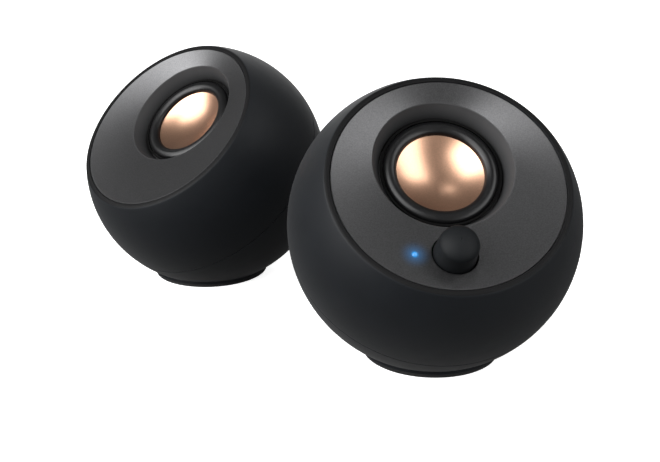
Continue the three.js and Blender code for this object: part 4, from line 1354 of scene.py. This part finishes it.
class SPEAKERS_OT_faceplates(Operator):
    """Builds both dished faceplates"""

    bl_idname = "speakers.faceplates"
    bl_label = "Faceplates"

    def execute(self, context):
        lining = ("recess_lining", without_flake)
        for side, form in zip(SIDES, (control_faceplate_form(), faceplate_form())):
            node, at = f"{side}_faceplate", face_place(side)
            piece(node, with_depth(form), at, "faceplate_plastic", part=lining)
        return {"FINISHED"}


class SPEAKERS_OT_drivers(Operator):
    """Builds both drivers' cones, gaskets, surrounds and spiders"""

    bl_idname = "speakers.drivers"
    bl_label = "Drivers"

    def execute(self, context):
        rings, forms = surround_forms(), (cone_form(), gasket_form(), spider_form())
        foam = ("gasket_foam", lambda mesh: np.ones(len(mesh.polygons)))
        for side in SIDES:
            at, cone, node = driver_place(side), f"{side}_cone", f"{side}_driver"
            piece(f"{node}_cone", forms[0], at, "copper_cone", cone)
            piece(f"{node}_gasket", forms[1], at, "surround_rubber", part=foam)
            rolling(f"{node}_surround", rings, at)
            spider = piece(f"{side}_spider", forms[2], at, "spider_cloth", None)
            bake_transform(spider)
        return {"FINISHED"}


class SPEAKERS_OT_radiators(Operator):
    """Builds both passive radiators, with their frames, plates and surrounds"""

    bl_idname = "speakers.radiators"
    bl_label = "Passive Radiators"

    def execute(self, context):
        frame_form, plate_form = radiator_frame_form(), radiator_plate_form()
        rings = radiator_surround_forms()
        for side in SIDES:
            at, node = radiator_place(side), f"{side}_radiator"
            piece(f"{node}_frame", frame_form, at, "frame_plastic")
            piece(f"{node}_plate", plate_form, at, "frame_plastic", node)
            rolling(f"{node}_surround", rings, at)
        return {"FINISHED"}


class SPEAKERS_OT_feet(Operator):
    """Builds both rubber feet"""

    bl_idname = "speakers.feet"
    bl_label = "Rubber Feet"

    def execute(self, context):
        form = foot_form()
        for side in SIDES:
            piece(f"{side}_rubber_foot", form, stand_place(side), "foot_rubber")
        return {"FINISHED"}


class SPEAKERS_OT_controls(Operator):
    """Builds the volume knob and the status light"""

    bl_idname = "speakers.controls"
    bl_label = "Knob and Light"

    def execute(self, context):
        face, at = context.scene.speaker_face, face_place("right")
        knob_at = at @ Matrix.Translation((face.knob_across, -face.knob_drop, 0))
        lens_at = at @ Matrix.Translation((face.light_across, -face.light_drop, 0))
        piece("right_volume_knob", knob_form(), knob_at, "knob_rubber", "right_volume")
        piece("right_status_light", lens_form(), lens_at, "light_lens")
        return {"FINISHED"}


class SPEAKERS_OT_sockets(Operator):
    """Builds the socket panels, jacks, power socket and gain switch"""

    bl_idname = "speakers.sockets"
    bl_label = "Sockets"

    def execute(self, context):
        for side in SIDES:
            piece(f"{side}_socket_panel", panel_form(side), ball_place(side), "frame_plastic")
        for side, name in (("right", "aux"), ("right", "speaker"), ("left", "input")):
            node, at, across = f"{side}_{name}_jack", ball_place(side), socket_across(name)
            piece(node, jack_form(across), at, "socket_plastic")
            collar = (collar_form(across), at, "socket_steel")
            piece(node, *collar, name=f"{node}_collar", takes=False)
        at, gain = ball_place("right"), socket_across("gain")
        power = power_socket_form(socket_across("power"))
        piece("right_usb_socket", power, at, "socket_steel", name="right_power_socket_form")
        piece("right_gain_switch", switch_form(gain), at, "socket_plastic")
        piece("right_gain_slider", slider_form(gain), at, "socket_plastic", "right_gain")
        return {"FINISHED"}


class SPEAKERS_OT_inner_finishes(Operator):
    """Gives each piece that stays as packed the finish of its slot"""

    bl_idname = "speakers.inner_finishes"
    bl_label = "Inner Finishes"

    def execute(self, context):
        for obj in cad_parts.values():
            for slot in obj.material_slots:
                name = slot.material.name.split(".")[0]
                if name in FINISHES:
                    slot.material = finish_for(name)
        return {"FINISHED"}


CAMERA_SPOT = (-0.08847, -0.38881, 0.18358)
CAMERA_AHEAD = (0.10870, 0.94454, -0.30991)
SENSOR_WIDTH = 36
CLIP_START = 0.01
FLOOR_HALF = 4.0
LIT_SPOT = (-0.03, 0.0, 0.06)

# The way to each softbox, then its distance, width, height and lean in degrees
SOFTBOXES = {
    "right": ((0.714, -0.559, 0.423), 1.1, 1.66, 0.55, 62.9),
    "left": ((-0.735, -0.496, 0.463), 1.1, 0.95, 1.98, -30.9),
    "side": ((-0.859, -0.047, 0.51), 1.1, 0.81, 0.73, -36.6),
    "front": ((-0.15, -1.0, 0.1), 1.6, 2.4, 1.0, 0.0),
    "top": ((0.097, -0.026, 1.0), 1.2, 0.1, 0.1, 0.0),
    "back": ((0.0, 0.97, 0.26), 1.6, 1.9, 1.5, 0.0),
}


def add_camera(scene):
    """The camera, turned so that its own axes match the photograph's."""
    ahead = Vector(CAMERA_AHEAD).normalized()
    level_right = ahead.cross(Vector((0, 0, 1))).normalized()
    level_up = level_right.cross(ahead)
    c, s = math.cos(scene.speaker_stage.roll), math.sin(scene.speaker_stage.roll)
    right, up = level_right * c + level_up * s, level_up * c - level_right * s
    data = bpy.data.cameras.new("camera")
    data.lens, data.sensor_width = scene.speaker_stage.lens, SENSOR_WIDTH
    data.clip_start = CLIP_START
    camera = bpy.data.objects.new("camera", data)
    axes = Matrix((right, up, -ahead)).transposed().to_4x4()
    camera.matrix_world = Matrix.Translation(CAMERA_SPOT) @ axes
    scene.collection.objects.link(camera)
    scene.camera = camera


def add_world(scene):
    """White surroundings, which light the speakers far more weakly than they look."""
    world = bpy.data.worlds.new("studio")
    world.use_nodes = True
    scene.world = world
    tree = world.node_tree
    seen = add(tree, "LightPath", "Is Camera Ray", {})
    strength = {"Value": seen, "To Min": scene.speaker_stage.fill, "To Max": 1.0}
    made = {"Color": (1, 1, 1, 1), "Strength": add(tree, "MapRange", "Result", strength)}
    fill(tree.nodes["Background"], made)


def add_floor(scene):
    """A studio floor in matt white paint, with a faint roller texture and a light of its own."""
    h = FLOOR_HALF
    mesh = bpy.data.meshes.new("floor")
    corners = np.array([(-h, -h, 0), (h, -h, 0), (h, h, 0), (-h, h, 0)])
    mesh.from_pydata(corners, [], [(0, 1, 2, 3)])
    glow = {"Emission Color": (1, 1, 1, 1), "Emission Strength": scene.speaker_stage.glow}
    paint = ("matt_studio_paint", tint("floor"), 0.9, 0.004, 2e-5, 0.01, 0.02, glow)
    mesh.materials.append(moulded(*paint))
    floor = bpy.data.objects.new("floor", mesh)
    scene.collection.objects.link(floor)
    floor.visible_diffuse = floor.visible_glossy = False


def add_softbox(scene, name, way, distance, width, height, lean):
    """A soft rectangular light in a direction from the speakers, facing them."""
    way = Vector(way).normalized()
    data = bpy.data.lights.new(f"{name}_softbox", "AREA")
    data.shape, data.size, data.size_y = "RECTANGLE", width, height
    data.energy = getattr(scene.speaker_stage, name)
    light = bpy.data.objects.new(data.name, data)
    facing = way.to_track_quat("Z", "Y").to_matrix().to_4x4()
    leaning = Matrix.Rotation(math.radians(lean), 4, "Z")
    spot = Matrix.Translation(Vector(LIT_SPOT) + way * distance)
    light.matrix_world = spot @ facing @ leaning
    light.visible_camera = False
    scene.collection.objects.link(light)


class SPEAKERS_OT_stage(Operator):
    """Sets the camera, the pale floor and the soft studio light"""

    bl_idname = "speakers.stage"
    bl_label = "Stage"

    def execute(self, context):
        scene = context.scene
        scene.view_settings.view_transform = "Standard"
        add_camera(scene)
        add_world(scene)
        add_floor(scene)
        for name, numbers in SOFTBOXES.items():
            add_softbox(scene, name, *numbers)
        return {"FINISHED"}


class SPEAKERS_PT_builder(Panel):
    """Lists the operators and the sizes they read"""

    bl_idname = "SPEAKERS_PT_builder"
    bl_label = "Ball Speaker Pair"
    bl_space_type = "VIEW_3D"
    bl_region_type = "UI"
    bl_category = "Speakers"

    def draw(self, context):
        for operator in OPERATORS:
            self.layout.operator(operator.bl_idname)
        for name, group in GROUPS.items():
            box = self.layout.box()
            box.label(text=group.__doc__)
            for key in group.__annotations__:
                box.prop(getattr(context.scene, name), key)


OPERATORS = (
    SPEAKERS_OT_front_shells,
    SPEAKERS_OT_rear_shells,
    SPEAKERS_OT_faceplates,
    SPEAKERS_OT_drivers,
    SPEAKERS_OT_radiators,
    SPEAKERS_OT_feet,
    SPEAKERS_OT_controls,
    SPEAKERS_OT_sockets,
    SPEAKERS_OT_inner_finishes,
    SPEAKERS_OT_stage,
)
GROUPS = {
    "speaker_cabinet": CabinetSizes,
    "speaker_face": FaceSizes,
    "speaker_driver": DriverSizes,
    "speaker_radiator": RadiatorSizes,
    "speaker_sockets": SocketSizes,
    "speaker_finishes": FinishColours,
    "speaker_stage": StageSettings,
}


def register():
    """Registers the groups, operators and panel."""
    for cls in (*GROUPS.values(), *OPERATORS, SPEAKERS_PT_builder):
        bpy.utils.register_class(cls)
    for name, group in GROUPS.items():
        setattr(bpy.types.Scene, name, PointerProperty(type=group))


def unregister():
    """Takes them away again."""
    for name in GROUPS:
        delattr(bpy.types.Scene, name)
    for cls in (SPEAKERS_PT_builder, *reversed(OPERATORS), *reversed(GROUPS.values())):
        bpy.utils.unregister_class(cls)


def main():
    """Builds the pair and its stage."""
    register()
    bpy.ops.speakers.front_shells()
    bpy.ops.speakers.rear_shells()
    bpy.ops.speakers.faceplates()
    bpy.ops.speakers.drivers()
    bpy.ops.speakers.radiators()
    bpy.ops.speakers.feet()
    bpy.ops.speakers.controls()
    bpy.ops.speakers.sockets()
    bpy.ops.speakers.inner_finishes()
    bpy.ops.speakers.stage()


if __name__ == "__main__":
    main()
